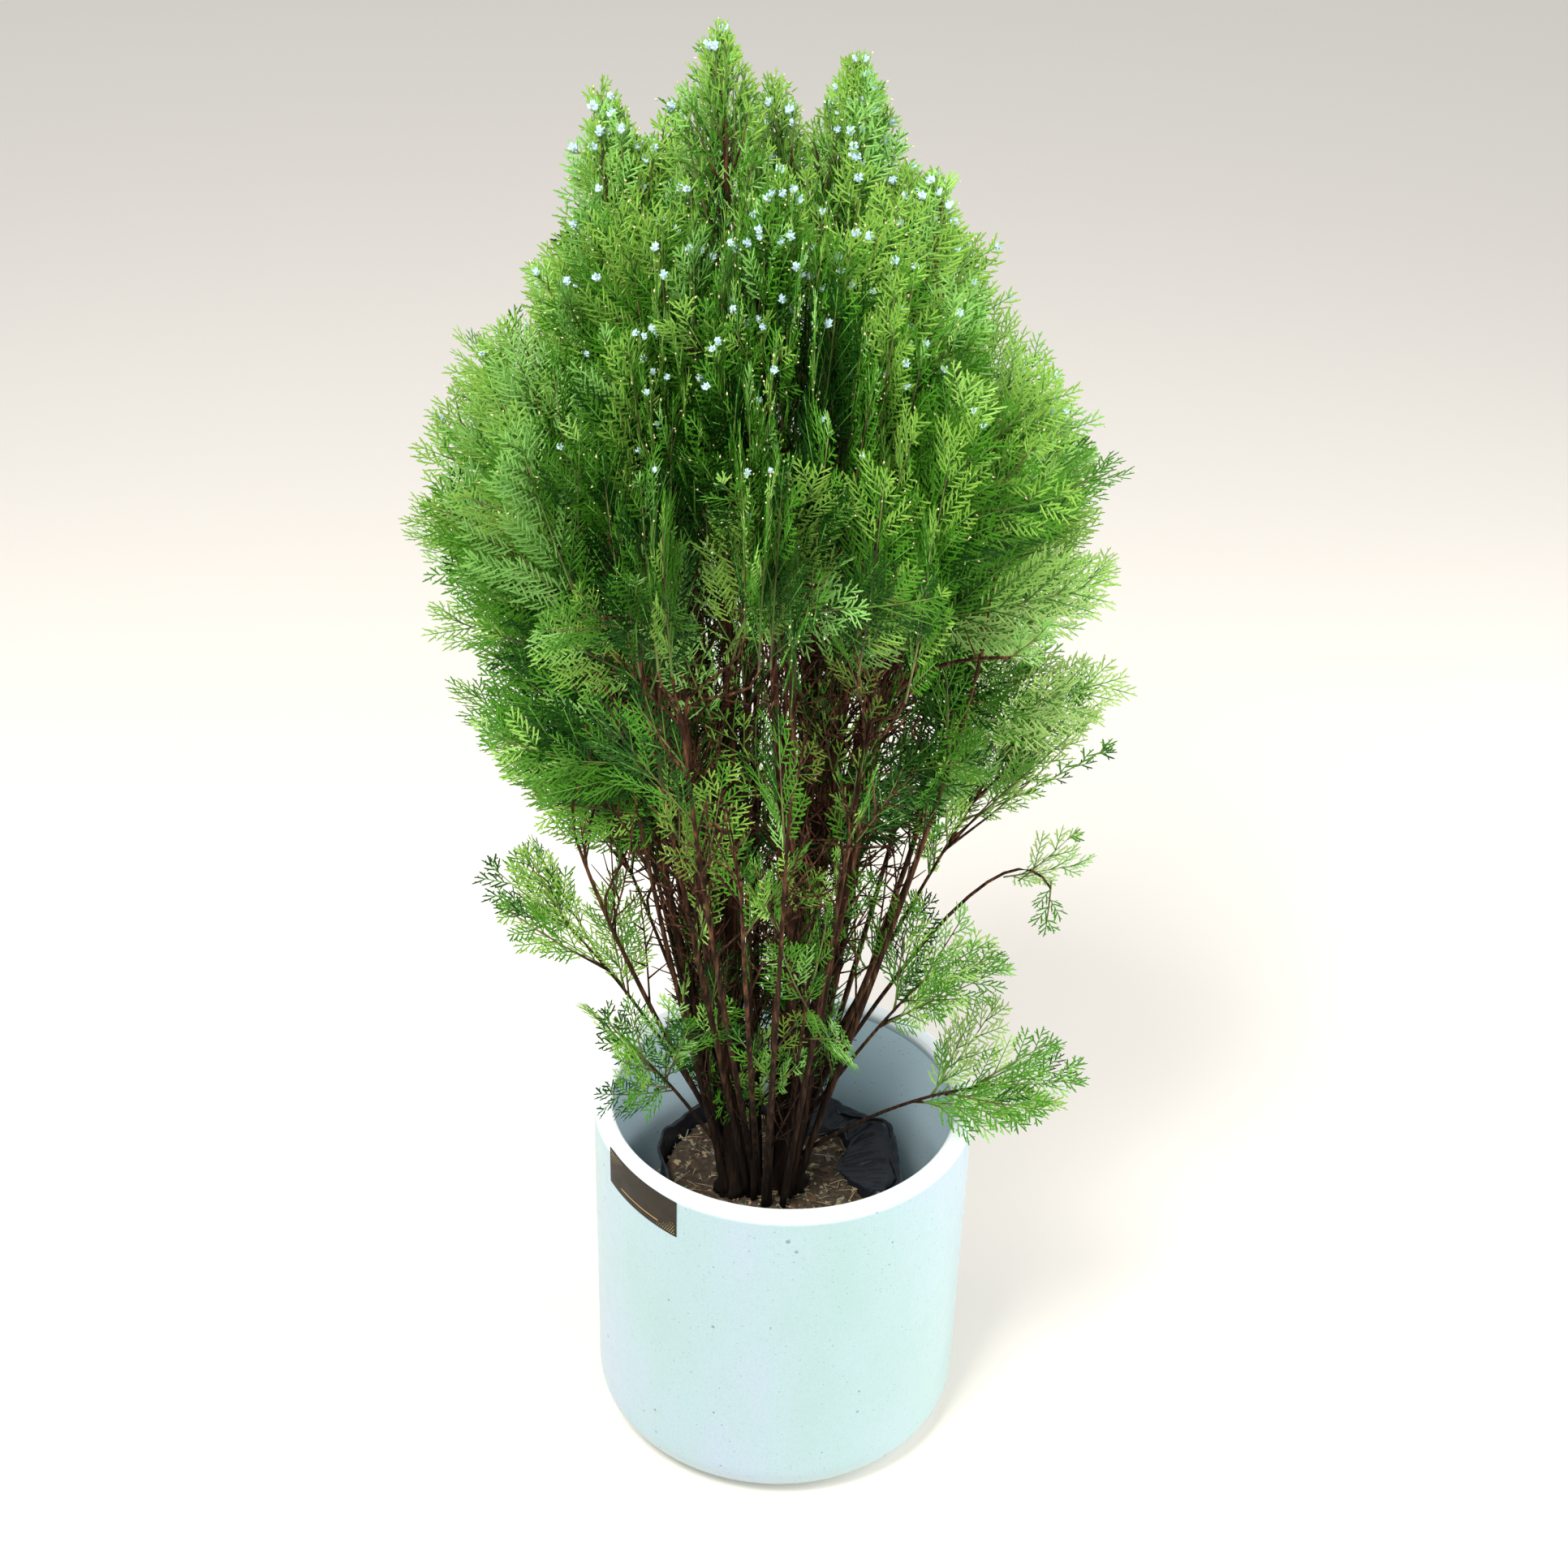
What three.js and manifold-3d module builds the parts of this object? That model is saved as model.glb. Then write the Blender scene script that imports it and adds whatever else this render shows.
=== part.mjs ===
// A potted oriental arborvitae, a conifer of many upright stems with flat, fern-like sprays, in a round
// white planter. The planter stands on its flat underside. Inside it stands a black grow bag full of soil,
// and two short trunks rise from the soil and fork low down into upright boughs.
// Millimetres, +Z up. The origin is the centre of the planter's underside. The side at -Y is the front.
import * as THREE from "three";
import { mergeVertices } from "three/addons/utils/BufferGeometryUtils.js";
import Module from "manifold-3d";

const wasm = await Module();
wasm.setup();

// Driving dimensions of the planter, the grow bag and the soil.
const POT = { height: 300, rimRadius: 152.5, footRadius: 149.5, wall: 15.3, floor: 16, round: 34, lip: 4,
  sides: 44 };
const BAG = { radius: 103, height: 216, film: 2.4, wave: 5, rimDip: 7, centreY: 7, sides: 26 };
const SOIL = { top: 216, level: 68, dip: 5, lump: 2.2, sides: 24 };
const LABEL = { width: 80, height: 34, thick: 0.6, azimuth: 223.4, middle: 281, drop: 7, steps: 10 };
const GAP = 0.3;

// Driving dimensions of the plant.
const FOOT = SOIL.top + GAP;
const TRUNKS = [
  { name: "trunk_left", foot: [-40, -15], tip: [-58, 0, 1040], footRadius: 10.5, azimuth: 200 },
  { name: "trunk_right", foot: [6, -8], tip: [14, 12, 1010], footRadius: 11.5, azimuth: 20 },
];
const TRUNK = { tipRadius: 2.6, thinning: 0.38, sides: 8, steps: 14 };
const FLARE = { share: 0.4, height: 0.04 };
const BOUGH = { rootRadius: 4.6, tipRadius: 2.4, sides: 5, steps: 5 };
const STEM = { rootRadius: 3.2, tipRadius: 2.2, sides: 3, steps: 3, bow: 0.35, share: 0.66, bare: 0.06 };
const TWIG = { rootRadius: 2.2, tipRadius: 2, sides: 3, steps: 1 };

// The crown's outline: half its width at each height, round an axis that leans a little to the left.
const CROWN_AXIS = { footX: -14, lean: -0.028 };
const CROWN_OUTLINE = [[520, 110], [590, 180], [670, 226], [750, 250], [830, 250], [890, 226], [960, 186],
  [1020, 146], [1090, 112], [1138, 84], [1164, 40], [1178, 8]];

// Rings of boughs from the lowest up. Each bough ends inside the space of its mass of foliage. Heights are
// at the back and sides, and the lift raises the front ones. Shares are of the crown's half width.
const RINGS = [
  { name: "skirt", count: 8, first: 12, tip: 628, tipShare: 0.44, centre: 692, reach: 772, lift: 135,
    fork: 240, forkStep: 14, spray: 155, sprays: 8, splay: 1, upright: 0.25 },
  { name: "middle", count: 6, first: 38, tip: 762, tipShare: 0.4, centre: 838, reach: 905, lift: 44,
    fork: 380, forkStep: 20, spray: 155, sprays: 8, splay: 1, upright: 0.4 },
  { name: "upper", count: 5, first: 342, tip: 880, tipShare: 0.42, centre: 962, reach: 1024, lift: 8,
    fork: 520, forkStep: 30, spray: 140, sprays: 7, splay: 1, upright: 0.42 },
];
const CENTRE_SHARE = 0.62;
const REACH_SHARE = 1.01;

// Masses that grow straight from a trunk: where they leave it, the middle of their space, and their tip.
const CREST = [
  { name: "crest_left", trunk: 0, fork: null, centre: [-62, -4, 1098], tip: [-66, 0, 1168] },
  { name: "crest_right", trunk: 1, fork: null, centre: [24, 8, 1084], tip: [26, 6, 1150] },
  { name: "crest_outer_left", trunk: 0, fork: 905, centre: [-136, -8, 1062], tip: [-142, -6, 1134] },
  { name: "crest_outer_right", trunk: 1, fork: 865, centre: [78, -16, 1016], tip: [84, -20, 1092] },
  { name: "crest_front", trunk: 0, fork: 885, centre: [-18, -88, 1040], tip: [-22, -92, 1104] },
  { name: "crest_back", trunk: 1, fork: 865, centre: [-26, 88, 1040], tip: [-30, 84, 1112] },
];
const CREST_GROWTH = { spray: 80, sprays: 8, splay: 0.7, upright: 0.5, bare: 0.6 };

// Thin low branches with a bare stretch and a few sprays, as they hang out over the planter. The radius
// is that of the ball round their centre in which they stay.
const LOW = [
  { name: "low_left_high", trunk: 0, fork: 262, knee: [-98, 6, 450],
    centre: [-146, 0, 570], tip: [-226, 4, 668], spray: 130, sprays: 8, radius: 116, bare: 0.35 },
  { name: "low_left", trunk: 0, fork: 250, knee: [-106, -24, 400],
    centre: [-168, -24, 474], tip: [-252, -20, 540], spray: 96, sprays: 4, radius: 90, bare: 0.5 },
  { name: "low_left_front", trunk: 0, fork: 240, knee: [-84, -56, 350],
    centre: [-108, -84, 396], tip: [-140, -98, 440], spray: 84, sprays: 4, radius: 66, bare: 0.6 },
  { name: "low_front", trunk: 1, fork: 250, knee: [8, -62, 400],
    centre: [18, -86, 470], tip: [30, -98, 552], spray: 96, sprays: 4, radius: 88, bare: 0.6 },
  { name: "low_right_high", trunk: 1, fork: 290, knee: [96, 10, 490],
    centre: [152, 4, 618], tip: [232, 6, 704], spray: 130, sprays: 8, radius: 110, bare: 0.4 },
  { name: "low_right", trunk: 1, fork: 262, knee: [66, -40, 400],
    centre: [104, -52, 456], tip: [152, -56, 500], spray: 90, sprays: 4, radius: 70, bare: 0.6 },
  { name: "low_right_sweep", trunk: 1, fork: 240, knee: [84, -44, 340],
    centre: [164, -50, 356], tip: [222, -52, 372], spray: 100, sprays: 5, radius: 74, bare: 0.6 },
  { name: "low_right_hanging", trunk: 1, fork: 270, knee: [160, 50, 560],
    centre: [204, 40, 482], tip: [204, 40, 430], spray: 76, sprays: 3, radius: 50, bare: 0.68 },
  { name: "low_back", trunk: 0, fork: 285, knee: [-30, 78, 410],
    centre: [-46, 138, 470], tip: [-56, 180, 524], spray: 110, sprays: 5, radius: 96, bare: 0.55 },
];
const LOW_GROWTH = { splay: 0.95, upright: 0.2 };

// One spray: a thin blade with teeth on both sides, like a fern, that bends as it grows. It starts at a point
// on the middle line of its stem or twig. The teeth are [how far along, half width], a point for each end
// and each notch in turn, for a spray of length 1.
const SPRAY = { thick: 1.8, sink: 7, bend: 0.09, least: 0.5, shrink: 0.86 };
const TEETH = {
  right: [[0.36, 0.22], [0.27, 0.06], [0.68, 0.27], [0.56, 0.07], [0.88, 0.15]],
  left: [[0.5, 0.27], [0.4, 0.07], [0.8, 0.22]],
};

// The rule by which a stem branches: the turn from one twig to the next, how far twigs and sprays splay
// from the stem at its foot and at its tip, both in degrees, how far a spray twists out of the plane of its
// twig and stem, how clear of its space's sides everything stays, how far it may stand out of the crown's
// outline, by how much two sprays may cross in cubic millimetres, and the turns in degrees that a spray
// tries, one after the other, until it fits.
const RULE = { turn: 137.5, splay: 62, tipSplay: 34, twist: 18, clear: 0.6, overhang: 1.04, crossing: 6,
  turns: [0, 50, -50, 90] };

// A repeatable source of numbers from 0 to 1, the same in every run.
function seededRandom(seed) {
  let state = seed + 1;
  const next = () => {
    state = (state * 48271) % 2147483647;
    return state / 2147483647;
  };
  for (let i = 0; i < 8; i++) next();
  return next;
}

const radians = THREE.MathUtils.degToRad;
const vector = (a) => new THREE.Vector3(...a);
const rise = (height) => new THREE.Vector3(0, 0, height);
const flatDirection = (degrees) =>
  new THREE.Vector3(Math.cos(radians(degrees)), Math.sin(radians(degrees)), 0);
const azimuthOf = (v) => THREE.MathUtils.radToDeg(Math.atan2(v.y, v.x));

// Materials, one for each finish.
const finish = (color, roughness) =>
  new THREE.MeshStandardMaterial({ color, roughness, metalness: 0 });
const MATERIALS = {
  planter: finish(0xdfeeee, 0.35),
  film: finish(0x17181d, 0.4),
  soil: finish(0x3a2a1c, 0.95),
  label: finish(0x2c2519, 0.3),
  bark: finish(0x4a2e22, 0.85),
  foliage: finish(0x4c9a35, 0.6),
};

// A solid from a closed geometry, and a named mesh from a solid.
function solidOf(geometry) {
  const bare = new THREE.BufferGeometry();
  bare.setAttribute("position", geometry.getAttribute("position"));
  bare.setIndex(geometry.index);
  const merged = mergeVertices(bare, 1e-4);
  const corners = merged.index.array;
  const faces = [];
  for (let i = 0; i < corners.length; i += 3) {
    const [a, b, c] = corners.subarray(i, i + 3);
    if (a !== b && b !== c && a !== c) faces.push(a, b, c);
  }
  return new wasm.Manifold(new wasm.Mesh({
    numProp: 3,
    vertProperties: merged.attributes.position.array,
    triVerts: new Uint32Array(faces),
  }));
}

function meshOf(solid, name, material) {
  const { vertProperties, triVerts } = solid.getMesh();
  const geometry = new THREE.BufferGeometry();
  geometry.setAttribute("position", new THREE.BufferAttribute(vertProperties.slice(), 3));
  geometry.setIndex(new THREE.BufferAttribute(triVerts.slice(), 1));
  geometry.computeVertexNormals();
  const mesh = new THREE.Mesh(geometry, material);
  mesh.name = name;
  return mesh;
}

const largestBody = (solid) => solid.decompose().sort((a, b) => b.volume() - a.volume())[0];

// A round body from its outline, [radius, height] pairs, turned round the vertical axis.
function turned(outline, sides) {
  const geometry = new THREE.LatheGeometry(outline.map(([r, z]) => new THREE.Vector2(r, z)), sides);
  return geometry.rotateX(Math.PI / 2);
}

// An arc of an outline: steps + 1 points round a centre, between two angles in degrees.
function arc(r, z, radius, from, to, steps) {
  return Array.from({ length: steps + 1 }, (_, i) => {
    const a = radians(from + ((to - from) * i) / steps);
    return [r + radius * Math.cos(a), z + radius * Math.sin(a)];
  });
}

function planter() {
  const inner = POT.rimRadius - POT.wall;
  const innerFoot = POT.footRadius - POT.wall;
  const innerRound = POT.round - POT.wall / 2;
  const outline = [
    [0, 0],
    ...arc(POT.footRadius - POT.round, POT.round, POT.round, -90, 0, 5),
    ...arc(POT.rimRadius - POT.lip, POT.height - POT.lip, POT.lip, 0, 90, 1),
    ...arc(inner + POT.lip, POT.height - POT.lip, POT.lip, 90, 180, 1),
    ...arc(innerFoot - innerRound, POT.floor + innerRound, innerRound, 0, -90, 2),
    [0, POT.floor],
  ];
  return solidOf(turned(outline, POT.sides));
}

// How far the bag's rim stands in or out at each angle, as a share of its wave.
const rimWave = (angle) => Math.sin(3 * angle + 0.6) * 0.6 + Math.sin(7 * angle) * 0.4;

function growBag() {
  const foot = POT.floor + GAP;
  const rim = foot + BAG.height;
  const inside = BAG.radius - BAG.film;
  const outline = [
    [0, foot],
    [BAG.radius - 14, foot],
    [BAG.radius - 3, foot + 14],
    [BAG.radius - 1, foot + 110],
    [BAG.radius - 3, SOIL.top - 8],
    [BAG.radius, rim],
    [inside, rim],
    [inside - 3, SOIL.top - 8],
    [inside - 1, foot + 110],
    [inside - 3, foot + 14 + BAG.film],
    [inside - 14, foot + BAG.film],
    [0, foot + BAG.film],
  ];
  const geometry = turned(outline, BAG.sides);
  const position = geometry.attributes.position;
  for (let i = 0; i < position.count; i++) {
    const [x, y, z] = [position.getX(i), position.getY(i), position.getZ(i)];
    const upper = THREE.MathUtils.clamp((z - SOIL.top + 8) / (rim - SOIL.top + 8), 0, 1);
    const angle = Math.atan2(y, x);
    const out = 1 + (upper * BAG.wave * rimWave(angle)) / BAG.radius;
    const dip = upper * BAG.rimDip * (Math.sin(2 * angle + 0.4) - 0.3);
    position.setXYZ(i, x * out, y * out + BAG.centreY, z + dip);
  }
  return solidOf(geometry);
}

// The soil fills the bag, level round the stems and a little lumpy towards its edge.
function soilBall() {
  const foot = POT.floor + GAP + BAG.film + GAP;
  const side = BAG.radius - BAG.film - 3 - GAP - 0.4;
  const outline = [
    [0, foot],
    [side - 15, foot],
    [side, foot + 16],
    [side, SOIL.top - SOIL.dip - 6],
    [side - 4, SOIL.top - SOIL.dip],
    [side - 18, SOIL.top - 3],
    [SOIL.level, SOIL.top],
    [0, SOIL.top],
  ];
  const geometry = turned(outline, SOIL.sides);
  const position = geometry.attributes.position;
  for (let i = 0; i < position.count; i++) {
    const [x, y, z] = [position.getX(i), position.getY(i), position.getZ(i)];
    const angle = Math.atan2(y, x);
    const edge = z > SOIL.top - SOIL.dip - 1 && Math.hypot(x, y) > SOIL.level + 1;
    const lump = edge ? SOIL.lump * (Math.sin(5 * angle) + Math.sin(9 * angle + 1)) * 0.5 : 0;
    position.setXYZ(i, x, y + BAG.centreY, z + Math.min(lump, SOIL.lump));
  }
  return solidOf(geometry);
}

// The plain plate on the planter's wall: a thin box bent round the wall, its left end a little higher.
function labelPlate() {
  const geometry = new THREE.BoxGeometry(LABEL.width, LABEL.height, LABEL.thick, LABEL.steps, 1, 1);
  const position = geometry.attributes.position;
  for (let i = 0; i < position.count; i++) {
    const along = position.getX(i);
    const z = LABEL.middle + position.getY(i) - (along / LABEL.width) * LABEL.drop;
    const share = (z - POT.round) / (POT.height - POT.round);
    const wall = THREE.MathUtils.lerp(POT.footRadius, POT.rimRadius, share);
    const r = wall + GAP + LABEL.thick / 2 + position.getZ(i);
    const angle = radians(LABEL.azimuth) + along / POT.rimRadius;
    position.setXYZ(i, r * Math.cos(angle), r * Math.sin(angle), z);
  }
  return solidOf(geometry);
}

// A limb: a tapered round bar bent along a curve. Its turns all lie near one upright plane, whose
// level normal keeps the sides from twisting.
function limb(curve, radiusAt, normal, sides, steps) {
  const geometry = new THREE.CylinderGeometry(1, 1, 1, sides, steps);
  const position = geometry.attributes.position;
  for (let i = 0; i < position.count; i++) {
    const t = THREE.MathUtils.clamp(position.getY(i) + 0.5, 0, 1);
    const tangent = curve.getTangent(t);
    const side = normal.clone().addScaledVector(tangent, -normal.dot(tangent)).normalize();
    const other = tangent.clone().cross(side);
    const r = radiusAt(t);
    const point = curve.getPoint(t)
      .addScaledVector(side, position.getZ(i) * r)
      .addScaledVector(other, position.getX(i) * r);
    position.setXYZ(i, point.x, point.y, point.z);
  }
  return solidOf(geometry);
}

const taper = (from, to) => (t) => THREE.MathUtils.lerp(from, to, t);

const axisAt = (z) => new THREE.Vector3(CROWN_AXIS.footX + CROWN_AXIS.lean * (z - SOIL.top), 0, z);

function crownRadius(z) {
  const last = CROWN_OUTLINE.length - 1;
  if (z <= CROWN_OUTLINE[0][0]) return CROWN_OUTLINE[0][1];
  if (z >= CROWN_OUTLINE[last][0]) return CROWN_OUTLINE[last][1];
  const i = CROWN_OUTLINE.findIndex(([height]) => height > z);
  const [[z0, r0], [z1, r1]] = [CROWN_OUTLINE[i - 1], CROWN_OUTLINE[i]];
  return THREE.MathUtils.lerp(r0, r1, (z - z0) / (z1 - z0));
}

const onCrown = (azimuth, z, share) =>
  axisAt(z).addScaledVector(flatDirection(azimuth), crownRadius(z) * share);

// The two trunks: upright at the soil, with a root flare, and whole up to their tips.
const trunks = TRUNKS.map((t) => {
  const foot = vector([...t.foot, FOOT]);
  const tip = vector(t.tip);
  const lift = (tip.z - foot.z) / 3;
  const curve = new THREE.CubicBezierCurve3(
    foot, foot.clone().add(rise(lift)), tip.clone().add(rise(-lift)), tip);
  const flare = (s) => 1 + FLARE.share * Math.exp(-s / FLARE.height);
  const radiusAt = (s) => THREE.MathUtils.lerp(t.footRadius, TRUNK.tipRadius, s ** TRUNK.thinning) * flare(s);
  return { ...t, curve, radiusAt, normal: flatDirection(t.azimuth + 90) };
});
const trunkSolid = (t, extra) =>
  limb(t.curve, (s) => t.radiusAt(s) + extra, t.normal, TRUNK.sides, TRUNK.steps);
const cutters = trunks.map((t) => trunkSolid(t, GAP));

// Where a trunk's axis is at a height.
function onTrunk(trunk, z) {
  let low = 0;
  let high = 1;
  for (let i = 0; i < 30; i++) {
    const middle = (low + high) / 2;
    if (trunk.curve.getPoint(middle).z < z) low = middle;
    else high = middle;
  }
  return trunk.curve.getPoint((low + high) / 2);
}

// The boughs of one ring. Each leaves the nearer trunk.
function ringBoughs(ring, ringIndex) {
  const random = seededRandom(100 + ringIndex);
  return Array.from({ length: ring.count }, (_, i) => {
    const azimuth = ring.first + (360 / ring.count) * (i + (random() - 0.5) * 0.2);
    const front = Math.max(0, -Math.sin(radians(azimuth)));
    const lift = ring.lift * front * front + (random() - 0.5) * 20;
    const end = onCrown(azimuth, ring.tip + lift, ring.tipShare);
    const centre = onCrown(azimuth, ring.centre + lift, CENTRE_SHARE);
    const reach = onCrown(azimuth + (random() - 0.5) * 8, ring.reach + lift, REACH_SHARE);
    const trunk = trunks[end.x < axisAt(end.z).x ? 0 : 1];
    const root = onTrunk(trunk, ring.fork + ring.forkStep * i);
    const out = end.clone().sub(root).setZ(0);
    const climb = end.z - root.z;
    const curve = new THREE.CubicBezierCurve3(
      root,
      root.clone().addScaledVector(out, 0.42).add(rise(0.22 * climb)),
      end.clone().addScaledVector(out, -0.16).add(rise(-0.3 * climb)),
      end);
    const seed = 1000 * (ringIndex + 1) + i;
    return { ...ring, name: `${ring.name}_${i + 1}`, curve, out, centre, reach, seed };
  });
}
const boughs = RINGS.flatMap(ringBoughs);

const levelNormal = (v) => flatDirection(azimuthOf(v) + 90);

function boughBar(b, extra) {
  const radiusAt = taper(BOUGH.rootRadius + extra, BOUGH.tipRadius + extra);
  return limb(b.curve, radiusAt, levelNormal(b.out), BOUGH.sides, BOUGH.steps);
}

const boughCutters = boughs.map((b) => boughBar(b, GAP + 0.2));

// A bough is cut clear of both trunks and of the boughs made before it, where they press together.
const cutClear = (bar, others) => others.reduce((solid, other) => solid.subtract(other), bar);
const boughSolid = (b, i) =>
  largestBody(cutClear(boughBar(b, 0), [...cutters, ...boughCutters.slice(0, i)]));

// The stem inside each mass. On a bough it starts at the bough's tip, on the crest at a trunk's tip or
// inside the trunk, from which it is cut clear, and low down inside the trunk.
function stemTowards(start, first, reach) {
  const middle = start.clone().addScaledVector(first, start.distanceTo(reach) * STEM.bow);
  return new THREE.QuadraticBezierCurve3(start, middle, start.clone().lerp(reach, STEM.share));
}

function stemOnBough(b) {
  const along = b.curve.getTangent(1);
  const start = b.curve.getPoint(1).addScaledVector(along, GAP);
  return { ...b, stem: stemTowards(start, along, b.reach), bare: STEM.bare };
}

function stemOnTrunk(l, i) {
  const trunk = trunks[l.trunk];
  const reach = vector(l.tip);
  const atTip = l.fork === null;
  const start = atTip ? trunk.curve.getPoint(1).add(rise(GAP)) : onTrunk(trunk, l.fork);
  const out = reach.clone().sub(start).setZ(0);
  const first = atTip ? rise(1) : out.clone().normalize().multiplyScalar(0.8).add(rise(0.6));
  const stem = stemTowards(start, first, reach);
  const bare = atTip ? STEM.bare : CREST_GROWTH.bare;
  return { ...l, ...CREST_GROWTH, stem, out, reach, centre: vector(l.centre), bare, seed: 5000 + i };
}

function stemLow(l, i) {
  const start = onTrunk(trunks[l.trunk], l.fork);
  const reach = vector(l.tip);
  const out = reach.clone().sub(start).setZ(0);
  const stem = new THREE.QuadraticBezierCurve3(start, vector(l.knee), vector(l.centre));
  return { ...l, ...LOW_GROWTH, stem, out, reach, centre: vector(l.centre), seed: 7000 + i };
}

const masses = [...boughs.map(stemOnBough), ...CREST.map(stemOnTrunk), ...LOW.map(stemLow)];

// Each mass has its own space: the points that are nearer to its centre than to any other's, within the
// crown's outline. Every such space is convex, so a spray stays in it when all its corners do.
const sidesOf = (mass) => masses.filter((other) => other !== mass).map((other) => {
  const normal = other.centre.clone().sub(mass.centre);
  const half = normal.length() / 2;
  normal.normalize();
  return { normal, offset: normal.dot(mass.centre) + half - RULE.clear };
});
masses.forEach((mass) => {
  mass.sides = sidesOf(mass);
});

function overPlanter(point) {
  const r = Math.hypot(point.x, point.y);
  return point.z < POT.height + 5 && r > POT.rimRadius - POT.wall - 5 && r < POT.rimRadius + 5;
}

function inOwnSpace(point, mass) {
  if (mass.sides.some(({ normal, offset }) => normal.dot(point) > offset)) return false;
  if (mass.radius) return point.distanceTo(mass.centre) < mass.radius && !overPlanter(point);
  const centre = axisAt(point.z);
  return Math.hypot(point.x - centre.x, point.y - centre.y) < crownRadius(point.z) * RULE.overhang + 4;
}

// How far one can go from a point in a direction before leaving the mass's space.
function roomFrom(point, direction, mass, most) {
  const step = 4;
  for (let far = 0; far < most; far += step) {
    if (!inOwnSpace(point.clone().addScaledVector(direction, far + step), mass)) return far;
  }
  return most;
}

// Turns a direction away from a line, about that line by one angle and out from it by another.
function splayed(along, normal, turn, out, upright) {
  const around = normal.clone().addScaledVector(along, -normal.dot(along)).normalize();
  const axis = around.applyAxisAngle(along, radians(turn));
  return along.clone().applyAxisAngle(axis, radians(out)).add(rise(upright)).normalize();
}

// A point on the middle line of a mass's stem, which is straight between its steps.
function onStem(mass, share) {
  const step = Math.min(STEM.steps - 1, Math.floor(share * STEM.steps));
  const [from, to] = [mass.stem.getPoint(step / STEM.steps), mass.stem.getPoint((step + 1) / STEM.steps)];
  return from.lerp(to, share * STEM.steps - step);
}

// The twigs and sprays of one mass by a seeded rule. Sprays stand on the stem and at the ends of its
// twigs in turn, and the last one ends the stem.
function growthOf(mass) {
  const random = seededRandom(mass.seed);
  const normal = levelNormal(mass.out);
  const twigs = [];
  const sprays = [];
  for (let i = 0; i < mass.sprays; i++) {
    const last = i === mass.sprays - 1;
    const share = last ? 1 : mass.bare + (1 - mass.bare) * ((i + 0.5 * random()) / mass.sprays);
    const root = onStem(mass, share);
    const along = last ? mass.reach.clone().sub(root).normalize() : mass.stem.getTangent(share);
    const opening = THREE.MathUtils.lerp(RULE.splay, RULE.tipSplay, share);
    const splay = opening * mass.splay * (0.8 + 0.4 * random());
    const turn = RULE.turn * i + 40 * random();
    const direction = last ? along : splayed(along, normal, turn, splay, mass.upright);
    const page = last ? normal.clone() : along.clone().cross(direction);
    const face = page.applyAxisAngle(direction, radians((random() - 0.5) * 2 * RULE.twist));
    face.addScaledVector(direction, -face.dot(direction)).normalize();
    const room = roomFrom(root, direction, mass, 400);
    const length = Math.min(mass.spray * (0.85 + 0.3 * random()), Math.max(room, 40));
    const twigLength = last || room - length < 3 * SPRAY.sink ? 0 : room - length;
    const base = root.clone().addScaledVector(direction, twigLength);
    if (twigLength) twigs.push({ from: root, to: base.clone() });
    const bend = (random() - 0.5) * 2 * SPRAY.bend;
    base.addScaledVector(direction, twigLength || last ? -SPRAY.sink : -1);
    sprays.push({ root: base, direction, face, length, bend });
  }
  return { twigs, sprays };
}

// The flat outline of a spray of length 1, and its blade, bent and set on its stem.
function sprayOutline(length) {
  const edge = (teeth, side) =>
    teeth.map(([far, wide]) => new THREE.Vector2(far * length, side * wide * length));
  return [
    new THREE.Vector2(0, 0),
    ...edge(TEETH.left, -1),
    new THREE.Vector2(length, 0),
    ...edge(TEETH.right, 1).reverse(),
  ];
}

function sprayBlade(spray, length, turn) {
  const shape = new THREE.Shape(sprayOutline(length));
  const geometry = new THREE.ExtrudeGeometry(shape, { depth: SPRAY.thick, bevelEnabled: false });
  const position = geometry.attributes.position;
  const face = spray.face.clone().applyAxisAngle(spray.direction, radians(turn));
  const across = face.clone().cross(spray.direction);
  for (let i = 0; i < position.count; i++) {
    const [x, y, z] = [position.getX(i), position.getY(i), position.getZ(i) - SPRAY.thick / 2];
    const lift = z + (spray.bend * x * x) / length;
    const point = spray.root.clone()
      .addScaledVector(spray.direction, x)
      .addScaledVector(across, y)
      .addScaledVector(face, lift);
    position.setXYZ(i, point.x, point.y, point.z);
  }
  return geometry;
}

function keepsToItself(geometry, mass) {
  const position = geometry.attributes.position;
  const corner = new THREE.Vector3();
  for (let i = 0; i < position.count; i++) {
    if (!inOwnSpace(corner.fromBufferAttribute(position, i), mass)) return false;
  }
  return true;
}

const touches = (solid, others) => others.some((other) => !solid.intersect(other).isEmpty());
const crosses = (blade, others) => others.some((other) => blade.intersect(other).volume() > RULE.crossing);

function twigSolid({ from, to }) {
  const line = new THREE.LineCurve3(from, to);
  const normal = levelNormal(to.clone().sub(from));
  return limb(line, taper(TWIG.rootRadius, TWIG.tipRadius), normal, TWIG.sides, TWIG.steps);
}

// The longest form of a spray that keeps to its mass's space and clear of every limb, or nothing.
function fittingBlade(spray, mass, limbs, blades) {
  for (let length = spray.length; length > spray.length * SPRAY.least; length *= SPRAY.shrink) {
    for (const turn of RULE.turns) {
      const geometry = sprayBlade(spray, length, turn);
      if (!keepsToItself(geometry, mass)) continue;
      const blade = solidOf(geometry);
      if (!touches(blade, limbs) && !crosses(blade, blades)) return blade;
    }
  }
  return null;
}

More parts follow.
